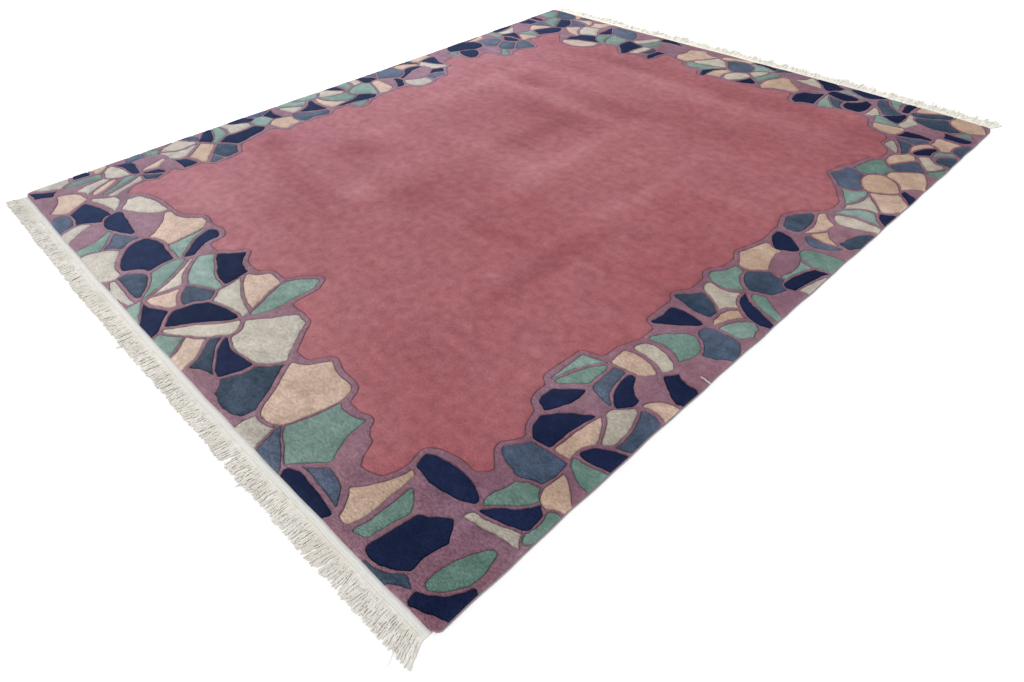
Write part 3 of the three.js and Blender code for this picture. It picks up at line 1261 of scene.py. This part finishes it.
def knot_backs():
    """Small rounded backs in rows, each in its knot's colour, with painted shade in the lines
    between.
    """
    material, tree = new_material("knot backs")
    weave, across, along = weave_map(tree)
    wobble = ramp(tree, grain(tree, weave, 60, 2), 0, 1, -BACK_WOBBLE, BACK_WOBBLE)
    row = wave(tree, plus(tree, along, wobble), 2 * ROW_PITCH)
    knot = wave(tree, plus(tree, across, wobble), 2 * KNOT_PITCH)
    domed = times(tree, maths(tree, "ABSOLUTE", row), maths(tree, "ABSOLUTE", knot))
    domed = maths(tree, "POWER", domed, 0.4)
    fibre = grain(tree, weave, 900, 2)
    dusty = patches(tree, weave, 9, 4, LEAST_DUST, MOST_DUST)
    colour = blended(tree, dusty, stored(tree, "knot_dye", "Color"), (*WARP_COTTON, 1))
    lit = times(tree, domed, ramp(tree, fibre, NOISE_LOW, NOISE_HIGH, 0.8, 1.0))
    # painted shade in the lines between the domed backs
    colour = toned(tree, colour, ramp(tree, lit, 0, 1, GAP_BETWEEN, 1.0))
    height = plus(tree, domed, times(tree, fibre, 0.2))
    rough = ramp(tree, fibre, NOISE_LOW, NOISE_HIGH, 0.8, 0.95)
    finish_cloth(tree, colour, height, BACK_RELIEF, 1.0, rough, 0.2)
    return material


foundation.data.materials.append(knot_backs())

# %% [markdown]
# ## The kelims
# At each end the weaver goes on with plain cotton weave, so that the last row of knots can't
# slide off. It is a thin flat band, and a line of twining divides it: the flat web beside the
# pile, and a looser strip where the warps gather into strands. One section is drawn once and
# carried along the bowed end, which makes a closed body that follows the pile exactly.

# %% The section of a kelim, and the body that it sweeps
KELIM_SECTION = [   # distance outside the pile's outline, and height, from the hidden lower edge
    (-0.0027, 0.0), (-0.0027, 0.0028), (0.0005, 0.0034), (0.0050, 0.0035), (0.0091, 0.0034),
    (0.0102, 0.0027), (0.0113, 0.0033), (0.0155, 0.0033), (0.0190, 0.0028), (0.0210, 0.0014),
    (0.0210, 0.0),
]
KELIM_STEP = 0.004
KELIM_HALF = WIDTH / 2 - CORNER / 2     # it ends halfway under the rug's rounded corners
KELIM_EDGE = 0.02           # how far outside the pile's outline it strays most
KELIM_STRAY = 0.0009        # how far it strays there
KELIM_WAVE = 0.0003         # how high its slow waves rise, and its small lumps
KELIM_LUMP = 0.0005
SHARPEST_WEB = 50           # degrees


def beyond(end, across, reach):
    """Flat points at a distance outside one end of the rug."""
    side = -1 if end == "near" else 1
    return np.column_stack([across, np.full(len(across), side) * (LENGTH / 2 + reach)])


def kelim_ring(end, number, stations):
    """One line of the section carried along an end, with small drifts and lumps."""
    reach, height = KELIM_SECTION[number]
    layer = 5 if end == "near" else 6
    drift = np.array([soft_noise(x, number * 0.2, 14, layer) for x in stations])
    lumps = np.array([soft_noise(x, number * 0.2, 75, 8) for x in stations])
    loose = min(1, max(0, reach / KELIM_EDGE))
    flat = beyond(end, stations, reach + KELIM_STRAY * loose * drift)
    lift = (KELIM_WAVE * drift + KELIM_LUMP * lumps) * (height > 0)
    return flat, np.column_stack([laid(flat), height + lift])


def facing_out(verts, faces):
    """The triangles of a closed body, turned over if they all face inwards."""
    corners = verts[faces]
    volume = np.einsum("ij,ij->", corners[:, 0], np.cross(corners[:, 1], corners[:, 2])) / 6
    return faces if volume > 0 else faces[:, ::-1]


def make_kelim(end):
    stations = np.linspace(-KELIM_HALF, KELIM_HALF, round(2 * KELIM_HALF / KELIM_STEP))
    rings = [kelim_ring(end, number, stations) for number in range(len(KELIM_SECTION))]
    flat, verts = (np.vstack(parts) for parts in zip(*rings))
    count, rows = len(stations), len(rings)
    faces = []
    for row in range(rows):
        low, high = row * count, (row + 1) % rows * count
        for i in range(count - 1):
            faces.append((low + i, low + i + 1, high + i + 1))
            faces.append((low + i, high + i + 1, high + i))
    last = count - 1
    for low in range(count, (rows - 1) * count, count):      # the two ends, as fans
        faces.append((0, low, low + count))
        faces.append((last, low + count + last, low + last))
    web = new_piece(f"kelim_{end}_web", verts, facing_out(verts, np.array(faces)), flat)
    web.data.set_sharp_from_angle(angle=math.radians(SHARPEST_WEB))
    return web


kelims = {end: make_kelim(end) for end in ("near", "far")}
print({end: len(web.data.polygons) for end, web in kelims.items()}, "triangles")


# %% Unbleached cotton
WARP_PITCH = 0.0026
WEFT_PITCH = 0.0019
SHADY_CORNER = (0.85, 0.85, 0.86, 1)    # painted shade, times the cotton's colour, at the near left corner
PAINTED_LIGHT_END = (1.115, 1.118, 1.09, 1)    # and, as painted light, at the far end
MOST_SOIL = 0.6             # how grey the patches and the specks are at most
LIT_FAR_GREY = 0.7           # and how much of the grey is left at the far end, which is painted lighter
MOST_LOW_SHADE = 0.85
LOW_SHADE_TOP = 0.0042           # how high the painted shade near the floor reaches
WEAVE_WOBBLE = 0.0005
COTTON_RELIEF = 0.0007


def soiled_cotton(tree, plain, soil_and_shade_colour):
    """Cotton that is greyer in patches and specks, and painted darker low down, as shade falls
    there.
    """
    space = in_space(tree)
    east, north, low = apart(tree, space)
    soil_and_shade = ramp(tree, grain(tree, space, 7, 4), 0.35, 0.7, 0.0, MOST_SOIL)
    speck = ramp(tree, grain(tree, space, 70, 3), 0.35, 0.7, 0.0, MOST_SOIL)
    # painted shade low down, among the strands near the floor
    low_shade = ramp(tree, low, LOW_SHADE_TOP, 0.0, 0.0, MOST_LOW_SHADE)
    soil_and_shade = maths(tree, "MAXIMUM", maths(tree, "MAXIMUM", soil_and_shade, speck), low_shade)
    # painted light: the far end keeps less of the grey
    soil_and_shade = times(tree, soil_and_shade, ramp(tree, north, -0.5, 0.5, 1.0, LIT_FAR_GREY))
    colour = blended(tree, soil_and_shade, (*plain, 1), (*soil_and_shade_colour, 1))
    # painted shade at the near left corner
    corner_shade = times(tree, ramp(tree, east, -0.4, -1.25), ramp(tree, north, 0.5, -0.5))
    colour = blended(tree, corner_shade, colour, SHADY_CORNER, "MULTIPLY")
    # painted light at the far end
    return blended(tree, ramp(tree, north, -0.5, 0.5), colour, PAINTED_LIGHT_END, "MULTIPLY")


def plain_weave(tree):
    """The ribs of a plain weave, from -1 to 1."""
    weave, across, along = weave_map(tree)
    wobble = ramp(tree, grain(tree, weave, 90, 2), 0, 1, -WEAVE_WOBBLE, WEAVE_WOBBLE)
    warp = wave(tree, plus(tree, across, wobble), WARP_PITCH)
    return times(tree, warp, wave(tree, plus(tree, along, wobble), WEFT_PITCH))


def cotton(name, plain, soil_and_shade_colour, woven):
    """Off-white cotton: ribs on the weave map with painted shade between, or spun, with only its
    fibres.
    """
    material, tree = new_material(name)
    fibre = grain(tree, in_space(tree), 1100, 3)
    colour = soiled_cotton(tree, plain, soil_and_shade_colour)
    height = times(tree, fibre, 0.4)
    if woven:
        ribs = plain_weave(tree)
        height = plus(tree, height, ramp(tree, ribs, -1, 1))
        # painted shade between the ribs of the weave
        colour = toned(tree, colour, ramp(tree, ribs, -1, 1, 0.88, 1.0))
    rough = ramp(tree, fibre, NOISE_LOW, NOISE_HIGH, 0.78, 0.95)
    finish_cloth(tree, colour, height, COTTON_RELIEF, 0.9, rough, 0.25, 0.2)
    return material


web_cotton = cotton("woven cotton", (0.80, 0.79, 0.755), (0.72, 0.70, 0.665), True)
strand_cotton = cotton("spun cotton", (0.75, 0.727, 0.678), (0.48, 0.44, 0.37), False)
for web in kelims.values():
    web.data.materials.append(web_cotton)

# %% [markdown]
# ## The fringes
# The warp ends are twisted in pairs and hang loose, so no two strands lie alike, though all
# follow one rule. That is work for Geometry Nodes: the line of the kelim's outer edge becomes a
# row of roots, each root sends out a straight line of points, and the tree then moves the points
# outwards, sideways and down to the floor. The cord's section is a flattened ring that turns as
# it goes, which looks like two yarns twisted together.

# %% Geometry Nodes helpers
def new_tree(name, inputs):
    """A geometry tree with a geometry input, named inputs and one geometry output."""
    tree = bpy.data.node_groups.new(name, "GeometryNodeTree")
    for label, kind in {"Geometry": "Geometry", **inputs}.items():
        tree.interface.new_socket(label, in_out="INPUT", socket_type=f"NodeSocket{kind}")
    tree.interface.new_socket("Geometry", in_out="OUTPUT", socket_type="NodeSocketGeometry")
    return tree, tree.nodes.new("NodeGroupInput").outputs


def swept(tree, line, profile, **more):
    """A closed body along a line, with a section."""
    inputs = {"Curve": line, "Profile Curve": profile, "Fill Caps": True, **more}
    return put(tree, "GeometryNodeCurveToMesh", inputs).outputs[0]


def finish_tree(tree, geometry, material):
    geometry = put(tree, "GeometryNodeRealizeInstances", {0: geometry}).outputs[0]
    geometry = put(tree, "GeometryNodeSetShadeSmooth", {0: geometry}).outputs[0]
    geometry = put(tree, "GeometryNodeSetMaterial", {0: geometry, "Material": material})
    end = tree.nodes.new("NodeGroupOutput")
    tree.links.new(geometry.outputs[0], end.inputs[0])
    return tree


def grown(name, line, tree, values):
    """The plain mesh that a geometry tree makes from a line of points."""
    mesh = bpy.data.meshes.new(name)
    steps = [(i, i + 1) for i in range(len(line) - 1)]
    mesh.from_pydata([tuple(point) for point in line], steps, [])
    carrier = placed(name + "_line", mesh)
    modifier = carrier.modifiers.new("grow", "NODES")
    modifier.node_group = tree
    for socket in tree.interface.items_tree:
        if socket.in_out == "INPUT" and socket.name in values:
            modifier[socket.identifier] = values[socket.name]
    evaluated = carrier.evaluated_get(bpy.context.evaluated_depsgraph_get())
    piece = placed(name, bpy.data.meshes.new_from_object(evaluated))
    carrier.modifiers.clear()
    bpy.data.objects.remove(carrier)
    piece.data.calc_loop_triangles()
    print(name, len(piece.data.loop_triangles), "triangles")
    return piece


def chance(tree, low, high, key, seed):
    """A random number, the same for each point with the same key."""
    inputs = {2: low, 3: high, "ID": key, "Seed": seed}
    return put(tree, "FunctionNodeRandomValue", inputs, data_type="FLOAT").outputs[1]


def vector(tree, x=0.0, y=0.0, z=0.0):
    return put(tree, "ShaderNodeCombineXYZ", {0: x, 1: y, 2: z}).outputs[0]


def scaled(tree, direction, length):
    inputs = {0: direction, "Scale": length}
    return put(tree, "ShaderNodeVectorMath", inputs, operation="SCALE").outputs[0]


def summed(tree, total, *vectors):
    for other in vectors:
        total = put(tree, "ShaderNodeVectorMath", {0: total, 1: other}).outputs[0]
    return total


def kept(tree, geometry, name, value, kind="FLOAT"):
    """Stores a value on each point under a name, and gives the geometry and the reader."""
    inputs = {0: geometry, "Name": name, "Value": value}
    stored = put(tree, "GeometryNodeStoreNamedAttribute", inputs, data_type=kind, domain="POINT")
    read = put(tree, "GeometryNodeInputNamedAttribute", {"Name": name}, data_type=kind)
    return stored.outputs[0], read.outputs[0]


# %% From a line to the strands' straight rows of points
STRAND_POINTS = 23
STRAND_SIDES = 4


def strand_rows(tree, given):
    """A straight line of points from each root, with its root's place and its own number."""
    edge = put(tree, "GeometryNodeMeshToCurve", {0: given["Geometry"]}).outputs[0]
    edge = put(tree, "GeometryNodeResampleCurve", {"Curve": edge, "Count": given["Strands"]})
    place = put(tree, "GeometryNodeInputPosition").outputs[0]
    number = put(tree, "GeometryNodeInputIndex").outputs[0]
    roots, root = kept(tree, edge.outputs[0], "root", place, "FLOAT_VECTOR")
    roots, strand = kept(tree, roots, "strand", number, "INT")
    line = put(tree, "GeometryNodeCurvePrimitiveLine").outputs[0]
    line = put(tree, "GeometryNodeResampleCurve", {"Curve": line, "Count": STRAND_POINTS})
    lines = put(tree, "GeometryNodeInstanceOnPoints", {0: roots, "Instance": line.outputs[0]})
    lines = put(tree, "GeometryNodeRealizeInstances", {0: lines.outputs[0]}).outputs[0]
    return lines, root, strand


# %% How a strand leans, reaches and rises
LEAN = 0.0085               # how far a strand's tip leans either way
CLUMP = 0.014               # and how far neighbours lean together
SWAY = 0.0032               # how far it sways on its way
HUMP = 0.0046               # how high it rises, at most
SWELL = 0.005               # and how much higher in some places along the edge
USUAL = 0.9955              # the share of the strands that have the usual length
LONGER = 0.22               # and how much longer the few others are
UNEVEN = (-0.05, 0.04)      # how much shorter or longer they get slowly along the edge
RAGGED_TIPS = (-0.09, 0.06)     # and from strand to strand
KEY_STEP = 7.31             # how far apart the noises of two neighbours are read
LUMP_KEY = 50.0             # and how far a strand's humps are from its sway


def along_edge(tree, across, layer, row, pace, detail):
    """A noise that depends only on the place along the edge."""
    return grain(tree, vector(tree, across, layer, row), pace, detail)


def along_strand(tree, key, share):
    """A noise along each strand, of its own kind for each key."""
    return grain(tree, vector(tree, key, times(tree, share, 3.0), 0.0), 1, 1)


def strand_lean(tree, given, across, strand):
    """How far each tip lies sideways: random, in clumps, and flared at the fringe's ends."""
    clump = along_edge(tree, across, 0.0, 3.0, 26, 3)
    clump = ramp(tree, clump, NOISE_LOW, NOISE_HIGH, -CLUMP, CLUMP)
    lean = chance(tree, -LEAN, LEAN, strand, given["Seed"])
    for end, sign in (("Left", -1), ("Right", 1)):
        away = maths(tree, "ABSOLUTE", maths(tree, "SUBTRACT", across, given[f"{end} end"]))
        away = maths(tree, "DIVIDE", times(tree, away, -1.0), given["Flare reach"])
        fading = maths(tree, "EXPONENT", away)
        lean = plus(tree, lean, times(tree, fading, given[f"{end} flare"], sign))
        clump = times(tree, clump, maths(tree, "SUBTRACT", 1.0, fading))
    return plus(tree, lean, clump)


def strand_reach(tree, given, across, strand, tuft):
    """The length of each strand, as a share of the fringe's."""
    seed = given["Seed"]
    slow = along_edge(tree, across, 9.0, 0.0, 11, 2)
    slow = ramp(tree, slow, NOISE_LOW, NOISE_HIGH, *UNEVEN)
    odd = chance(tree, 0.0, 1.0, strand, plus(tree, seed, 4))
    odd = ramp(tree, odd, USUAL, USUAL + 0.0001, 1.0, 1.0 + LONGER)
    ragged = chance(tree, *RAGGED_TIPS, strand, plus(tree, seed, 1))
    return plus(tree, slow, odd, ragged, times(tree, tuft, given["Tuft reach"]))


def strand_height(tree, given, across, strand, tuft, key, share, started):
    """The height of each point: down from the web, over small humps, and up in the tufts."""
    seed = given["Seed"]
    lift = chance(tree, 0.0, HUMP, strand, plus(tree, seed, 2))
    swell = along_edge(tree, across, 2.0, 8.0, 34, 2)
    lift = plus(tree, lift, ramp(tree, swell, 0.4, 0.7, 0.0, SWELL))
    humps = along_strand(tree, plus(tree, key, LUMP_KEY), share)
    raised = times(tree, lift, humps, started)
    above = times(tree, given["Step down"], ramp(tree, share, 0.02, 0.30, 1.0, 0.0))
    curl = times(tree, tuft, chance(tree, 0.3, 1.0, strand, plus(tree, seed, 5)))
    curl = times(tree, curl, ramp(tree, share, 0.1, 0.7))
    raised = plus(tree, raised, times(tree, curl, given["Tuft height"]))
    return plus(tree, above, raised, given["Radius"])


# %% The tree of a fringe
def fringe_tree():
    tree, given = new_tree("fringe", {
        "Strands": "Int", "Outwards": "Vector", "Length": "Float", "Radius": "Float",
        "Flatness": "Float", "Turns": "Float", "Step down": "Float", "Left end": "Float",
        "Right end": "Float", "Left flare": "Float", "Right flare": "Float",
        "Flare reach": "Float", "Tuft height": "Float", "Tuft reach": "Float",
        "Seed": "Int", "Material": "Material",
    })
    lines, root, strand = strand_rows(tree, given)
    share = put(tree, "GeometryNodeSplineParameter").outputs["Factor"]
    across = apart(tree, root)[0]
    key = times(tree, strand, KEY_STEP)
    started = ramp(tree, share, 0.1, 0.4)
    tuft = ramp(tree, along_edge(tree, across, 5.0, 1.0, 46, 2), 0.44, 0.62)

    sway = ramp(tree, along_strand(tree, key, share), 0.25, 0.75, -SWAY, SWAY)
    lean = times(tree, strand_lean(tree, given, across, strand), share)
    sideways = plus(tree, lean, times(tree, sway, started))
    reach = times(tree, given["Length"], strand_reach(tree, given, across, strand, tuft), share)
    height = strand_height(tree, given, across, strand, tuft, key, share, started)
    path = summed(tree, root, scaled(tree, given["Outwards"], reach),
                  vector(tree, sideways, 0.0, height))
    lines = put(tree, "GeometryNodeSetPosition", {0: lines, "Position": path}).outputs[0]

    start = chance(tree, 0.0, math.tau, strand, plus(tree, given["Seed"], 3))
    turn = plus(tree, start, times(tree, share, given["Turns"], math.tau))
    lines = put(tree, "GeometryNodeSetCurveTilt", {0: lines, "Tilt": turn}).outputs[0]
    profile = put(tree, "GeometryNodeCurvePrimitiveCircle",
                  {"Resolution": STRAND_SIDES, "Radius": given["Radius"]}).outputs[0]
    flat = vector(tree, 1.0, given["Flatness"], 1.0)
    profile = put(tree, "GeometryNodeTransform", {0: profile, "Scale": flat}).outputs[0]
    return finish_tree(tree, swept(tree, lines, profile), given["Material"])


# %% Both fringes
FRINGE_FLARE = {"near": (0.012, 0.033), "far": (0.004, 0.028)}   # left and right, sideways
FRINGE_TUFTS = {"near": (0.0, 0.0), "far": (0.008, 0.22)}        # how high and far they curl
TWINING = 0.0192            # where the strands leave the web, outside the pile's outline
FRINGE_LENGTH = 0.0565
FRINGE_INSET = 0.003        # how much shorter than the web the row of roots is at each side
ROOT_HEIGHT = 0.0001        # just over the floor, so that a strand can lie on it
STEP_DOWN = 0.0012          # how much higher than that a strand starts, in the web
STRAND_RADIUS = 0.0022
STRAND_FLATNESS = 0.70      # its thickness, as a share of its width
STRAND_TURNS = 4.2
FLARE_REACH = 0.09          # how far along the edge a corner's flare fades to about a third
ROOT_POINTS = 300
STRANDS = 1040
ALL_STRANDS = {             # what the strands of both fringes and the loose threads share
    "Left flare": 0.0, "Right flare": 0.0, "Tuft height": 0.0, "Tuft reach": 0.0,
    "Material": strand_cotton,
}


def strands(name, line, values):
    piece = grown(name, line, fringe_tree(), {**ALL_STRANDS, **values})
    return piece


def make_fringe(end):
    half = KELIM_HALF - FRINGE_INSET
    flat = beyond(end, np.linspace(-half, half, ROOT_POINTS), TWINING)
    line = np.column_stack([laid(flat), np.full(len(flat), ROOT_HEIGHT)])
    left, right = FRINGE_FLARE[end]
    tuft_height, tuft_reach = FRINGE_TUFTS[end]
    return strands(f"fringe_{end}_strands", line, {
        "Strands": STRANDS, "Outwards": (0.0, -1.0 if end == "near" else 1.0, 0.0),
        "Length": FRINGE_LENGTH, "Radius": STRAND_RADIUS, "Flatness": STRAND_FLATNESS,
        "Turns": STRAND_TURNS, "Step down": STEP_DOWN,
        "Left end": line[:, 0].min(), "Right end": line[:, 0].max(),
        "Left flare": left, "Right flare": right, "Flare reach": FLARE_REACH,
        "Tuft height": tuft_height, "Tuft reach": tuft_reach,
        "Seed": 5 if end == "near" else 6,
    })


fringes = {end: make_fringe(end) for end in ("near", "far")}

# %% [markdown]
# Two threads have come loose: one long warp end reaches out of the near fringe close to its right
# corner, and a short pale yarn lies on the pile at the right side. The fringe's tree makes them
# too, as fringes of a single strand.

# %% Two loose threads
def loose_thread(name, start, height, outwards, length, radius):
    line = np.column_stack([laid(np.array([start, start]) + [[0, 0], [0.001, 0]]), [height] * 2])
    return strands(name, line, {
        "Strands": 1, "Outwards": outwards, "Length": length, "Radius": radius,
        "Flatness": 0.9, "Turns": 0.0, "Step down": 0.0, "Left end": 0.0, "Right end": 0.0,
        "Flare reach": 0.01, "Seed": 7,
    })


loose_warp = loose_thread("loose_warp_end", (WIDTH / 2 - 0.049, -LENGTH / 2 - 0.030), 0.0050,
                          (0.42, -0.91, 0.0), 0.080, 0.0011)
loose_yarn = loose_thread("loose_pale_yarn", (WIDTH / 2 - 0.026, -0.561), PILE_TOP,
                          (0.96, -0.27, -0.02), 0.029, 0.0015)
print(loose_warp.name, list(loose_warp.dimensions), loose_yarn.name, list(loose_yarn.dimensions))

# %% [markdown]
# ## The selvedges
# Along each long side wool yarn is wound round and round the outermost warps. The cord lies half
# hidden under the leaning pile, and its turns show as small ribs. Geometry Nodes sweep a round
# section along the bowed side, and a sine along its length swells and narrows it at each turn.

# %% The tree of a selvedge
TURN_PITCH = 0.0040
POINTS_PER_TURN = 4
CORD_RADIUS = 0.0025
CORD_SWELL = 0.09           # how much thicker and thinner it is within a turn
CORD_UNEVEN = (0.9, 1.06)   # and from place to place
CORD_SIDES = 7


def selvedge_tree():
    tree, given = new_tree("selvedge", {
        "Radius": "Float", "Pitch": "Float", "Swell": "Float", "Sides": "Int",
        "Material": "Material",
    })
    side = put(tree, "GeometryNodeMeshToCurve", {0: given["Geometry"]}).outputs[0]
    step = maths(tree, "DIVIDE", given["Pitch"], POINTS_PER_TURN)
    side = put(tree, "GeometryNodeResampleCurve", {"Curve": side, "Length": step}, mode="LENGTH")
    reached = put(tree, "GeometryNodeSplineParameter").outputs["Length"]
    turn = times(tree, maths(tree, "DIVIDE", reached, given["Pitch"]), math.tau)
    swell = times(tree, maths(tree, "SINE", turn), given["Swell"])
    lumps = grain(tree, vector(tree, reached, 0.0, 1.0), 55, 2)
    uneven = ramp(tree, lumps, 0.2, 0.8, *CORD_UNEVEN)
    size = times(tree, plus(tree, swell, uneven), given["Radius"])
    side = put(tree, "GeometryNodeSetCurveRadius", {0: side.outputs[0], "Radius": size})
    profile = put(tree, "GeometryNodeCurvePrimitiveCircle",
                  {"Resolution": given["Sides"], "Radius": 1.0}).outputs[0]
    radius = put(tree, "GeometryNodeInputNamedAttribute", {"Name": "radius"}, data_type="FLOAT")
    cord = swept(tree, side.outputs[0], profile, Scale=radius.outputs[0])
    return finish_tree(tree, cord, given["Material"])


# %% Yarn wound round a cord
DARK_YARN = (0.25, 0.20, 0.215, 1)
LIGHT_YARN = (0.36, 0.30, 0.315, 1)
YARN_RELIEF = 0.0007


def wound_wool():
    material, tree = new_material("wound wool")
    space = in_space(tree)
    _, along, height = apart(tree, space)
    slant = plus(tree, along, times(tree, height, 0.5))
    yarn = ramp(tree, wave(tree, slant, TURN_PITCH / 2), -1, 1)
    fibre = grain(tree, space, 900, 3)
    tone = patches(tree, space, 25, 3, 0.0, 1.0)
    colour = blended(tree, tone, DARK_YARN, LIGHT_YARN)
    relief = plus(tree, times(tree, fibre, 0.5), yarn)
    rough = ramp(tree, fibre, NOISE_LOW, NOISE_HIGH, 0.8, 0.95)
    finish_cloth(tree, colour, relief, YARN_RELIEF, 0.8, rough, 0.2, 0.25)
    return material


# %% Both selvedges
SIDE_POINTS = 600
SIDE_SHORTER = 0.4          # in corner radii, how much sooner a cord ends than the rug
TURN_IN = 1.9               # how much faster than the rug's corner it turns in there
CORD_OUT = 0.0003           # how far its middle stands outside the pile
CORD_LIFT = 0.0001          # and how far it clears the floor, where it isn't swollen
cord_wool = wound_wool()


def make_selvedge(side):
    sign = -1 if side == "left" else 1
    half = LENGTH / 2 - SIDE_SHORTER * CORNER
    along = np.linspace(-half, half, SIDE_POINTS)
    turned = np.maximum(np.abs(along) - (LENGTH / 2 - CORNER), 0)
    inwards = CORNER - np.sqrt(CORNER ** 2 - turned ** 2)
    flat = np.column_stack([sign * (WIDTH / 2 + CORD_OUT - TURN_IN * inwards), along])
    line = np.column_stack([laid(flat), np.full(SIDE_POINTS, CORD_RADIUS + CORD_LIFT)])
    piece = grown(f"selvedge_{side}_cord", line, selvedge_tree(), {
        "Radius": CORD_RADIUS, "Pitch": TURN_PITCH, "Swell": CORD_SWELL, "Sides": CORD_SIDES,
        "Material": cord_wool,
    })
    return piece


selvedges = {side: make_selvedge(side) for side in ("left", "right")}

# %% [markdown]
# ## Floor and light
# The floor is a large pale sheet. One wide soft light stands high on the camera's side, and a
# window's light comes from the left, so the rug is a little brighter towards it. Neither gives a
# shadow with an edge, and an even white surround fills them.

# %% A pale floor, two wide soft lights and a white surround
FLOOR_HALF = 30.0
FLOOR_DROP = 0.0002         # so that nothing of the rug lies in the floor's own plane
FLOOR_WHITE = (0.93, 0.93, 0.93, 1)
DAYLIGHT = 2.0
DAYLIGHT_SPREAD = math.radians(50)
DAYLIGHT_TURN = (math.radians(34), 0, math.radians(35))
WINDOW_PLACE = (-3.4, 0.8, 2.4)
WINDOW_SIZE = 2.4
WINDOW_POWER = 88
SURROUND = 0.60             # how strongly the surround lights the rug, though it looks white


def make_floor():
    mesh = bpy.data.meshes.new("floor")
    half = FLOOR_HALF
    mesh.from_pydata([(-half, -half, 0), (half, -half, 0), (half, half, 0), (-half, half, 0)],
                     [], [(0, 1, 2, 3)])
    material, tree = new_material("pale floor")
    shader = tree.nodes["Principled BSDF"]
    shader.inputs["Base Color"].default_value = FLOOR_WHITE
    shader.inputs["Roughness"].default_value = 1.0
    shader.inputs["Specular IOR Level"].default_value = 0.0
    mesh.materials.append(material)
    floor = placed("floor", mesh)
    floor.location.z = -FLOOR_DROP


def make_light():
    data = bpy.data.lights.new("soft daylight", "SUN")
    data.energy = DAYLIGHT
    data.angle = DAYLIGHT_SPREAD
    placed("soft daylight", data).rotation_euler = DAYLIGHT_TURN


def make_window():
    data = bpy.data.lights.new("window", "AREA")
    data.size = WINDOW_SIZE
    data.energy = WINDOW_POWER
    light = placed("window", data)
    light.location = WINDOW_PLACE
    light.rotation_euler = (-Vector(WINDOW_PLACE)).to_track_quat("-Z", "Y").to_euler()


def make_surround():
    world = bpy.data.worlds.new("white surround")
    world.use_nodes = True
    tree = world.node_tree
    background = tree.nodes["Background"]
    seen = put(tree, "ShaderNodeLightPath").outputs["Is Camera Ray"]
    tree.links.new(ramp(tree, seen, 0, 1, SURROUND, 1.0), background.inputs["Strength"])
    background.inputs["Color"].default_value = (1, 1, 1, 1)
    bpy.context.scene.world = world


make_floor()
make_light()
make_window()
make_surround()
bpy.context.scene.view_settings.view_transform = "Standard"

# %% Every piece rides on the rug's one body, and stands for its plain solid
stands_for = {piece: "pile_body" for piece in (foundation, *piles.values())}
for group, node in ((kelims, "kelim"), (fringes, "fringe"), (selvedges, "selvedge")):
    stands_for.update({piece: f"{node}_{place}" for place, piece in group.items()})
stands_for.update({loose_warp: "fringe_near", loose_yarn: "pile_body"})
for piece, node in stands_for.items():
    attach(piece, "root")
    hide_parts(node)
print(len(stands_for), "pieces")
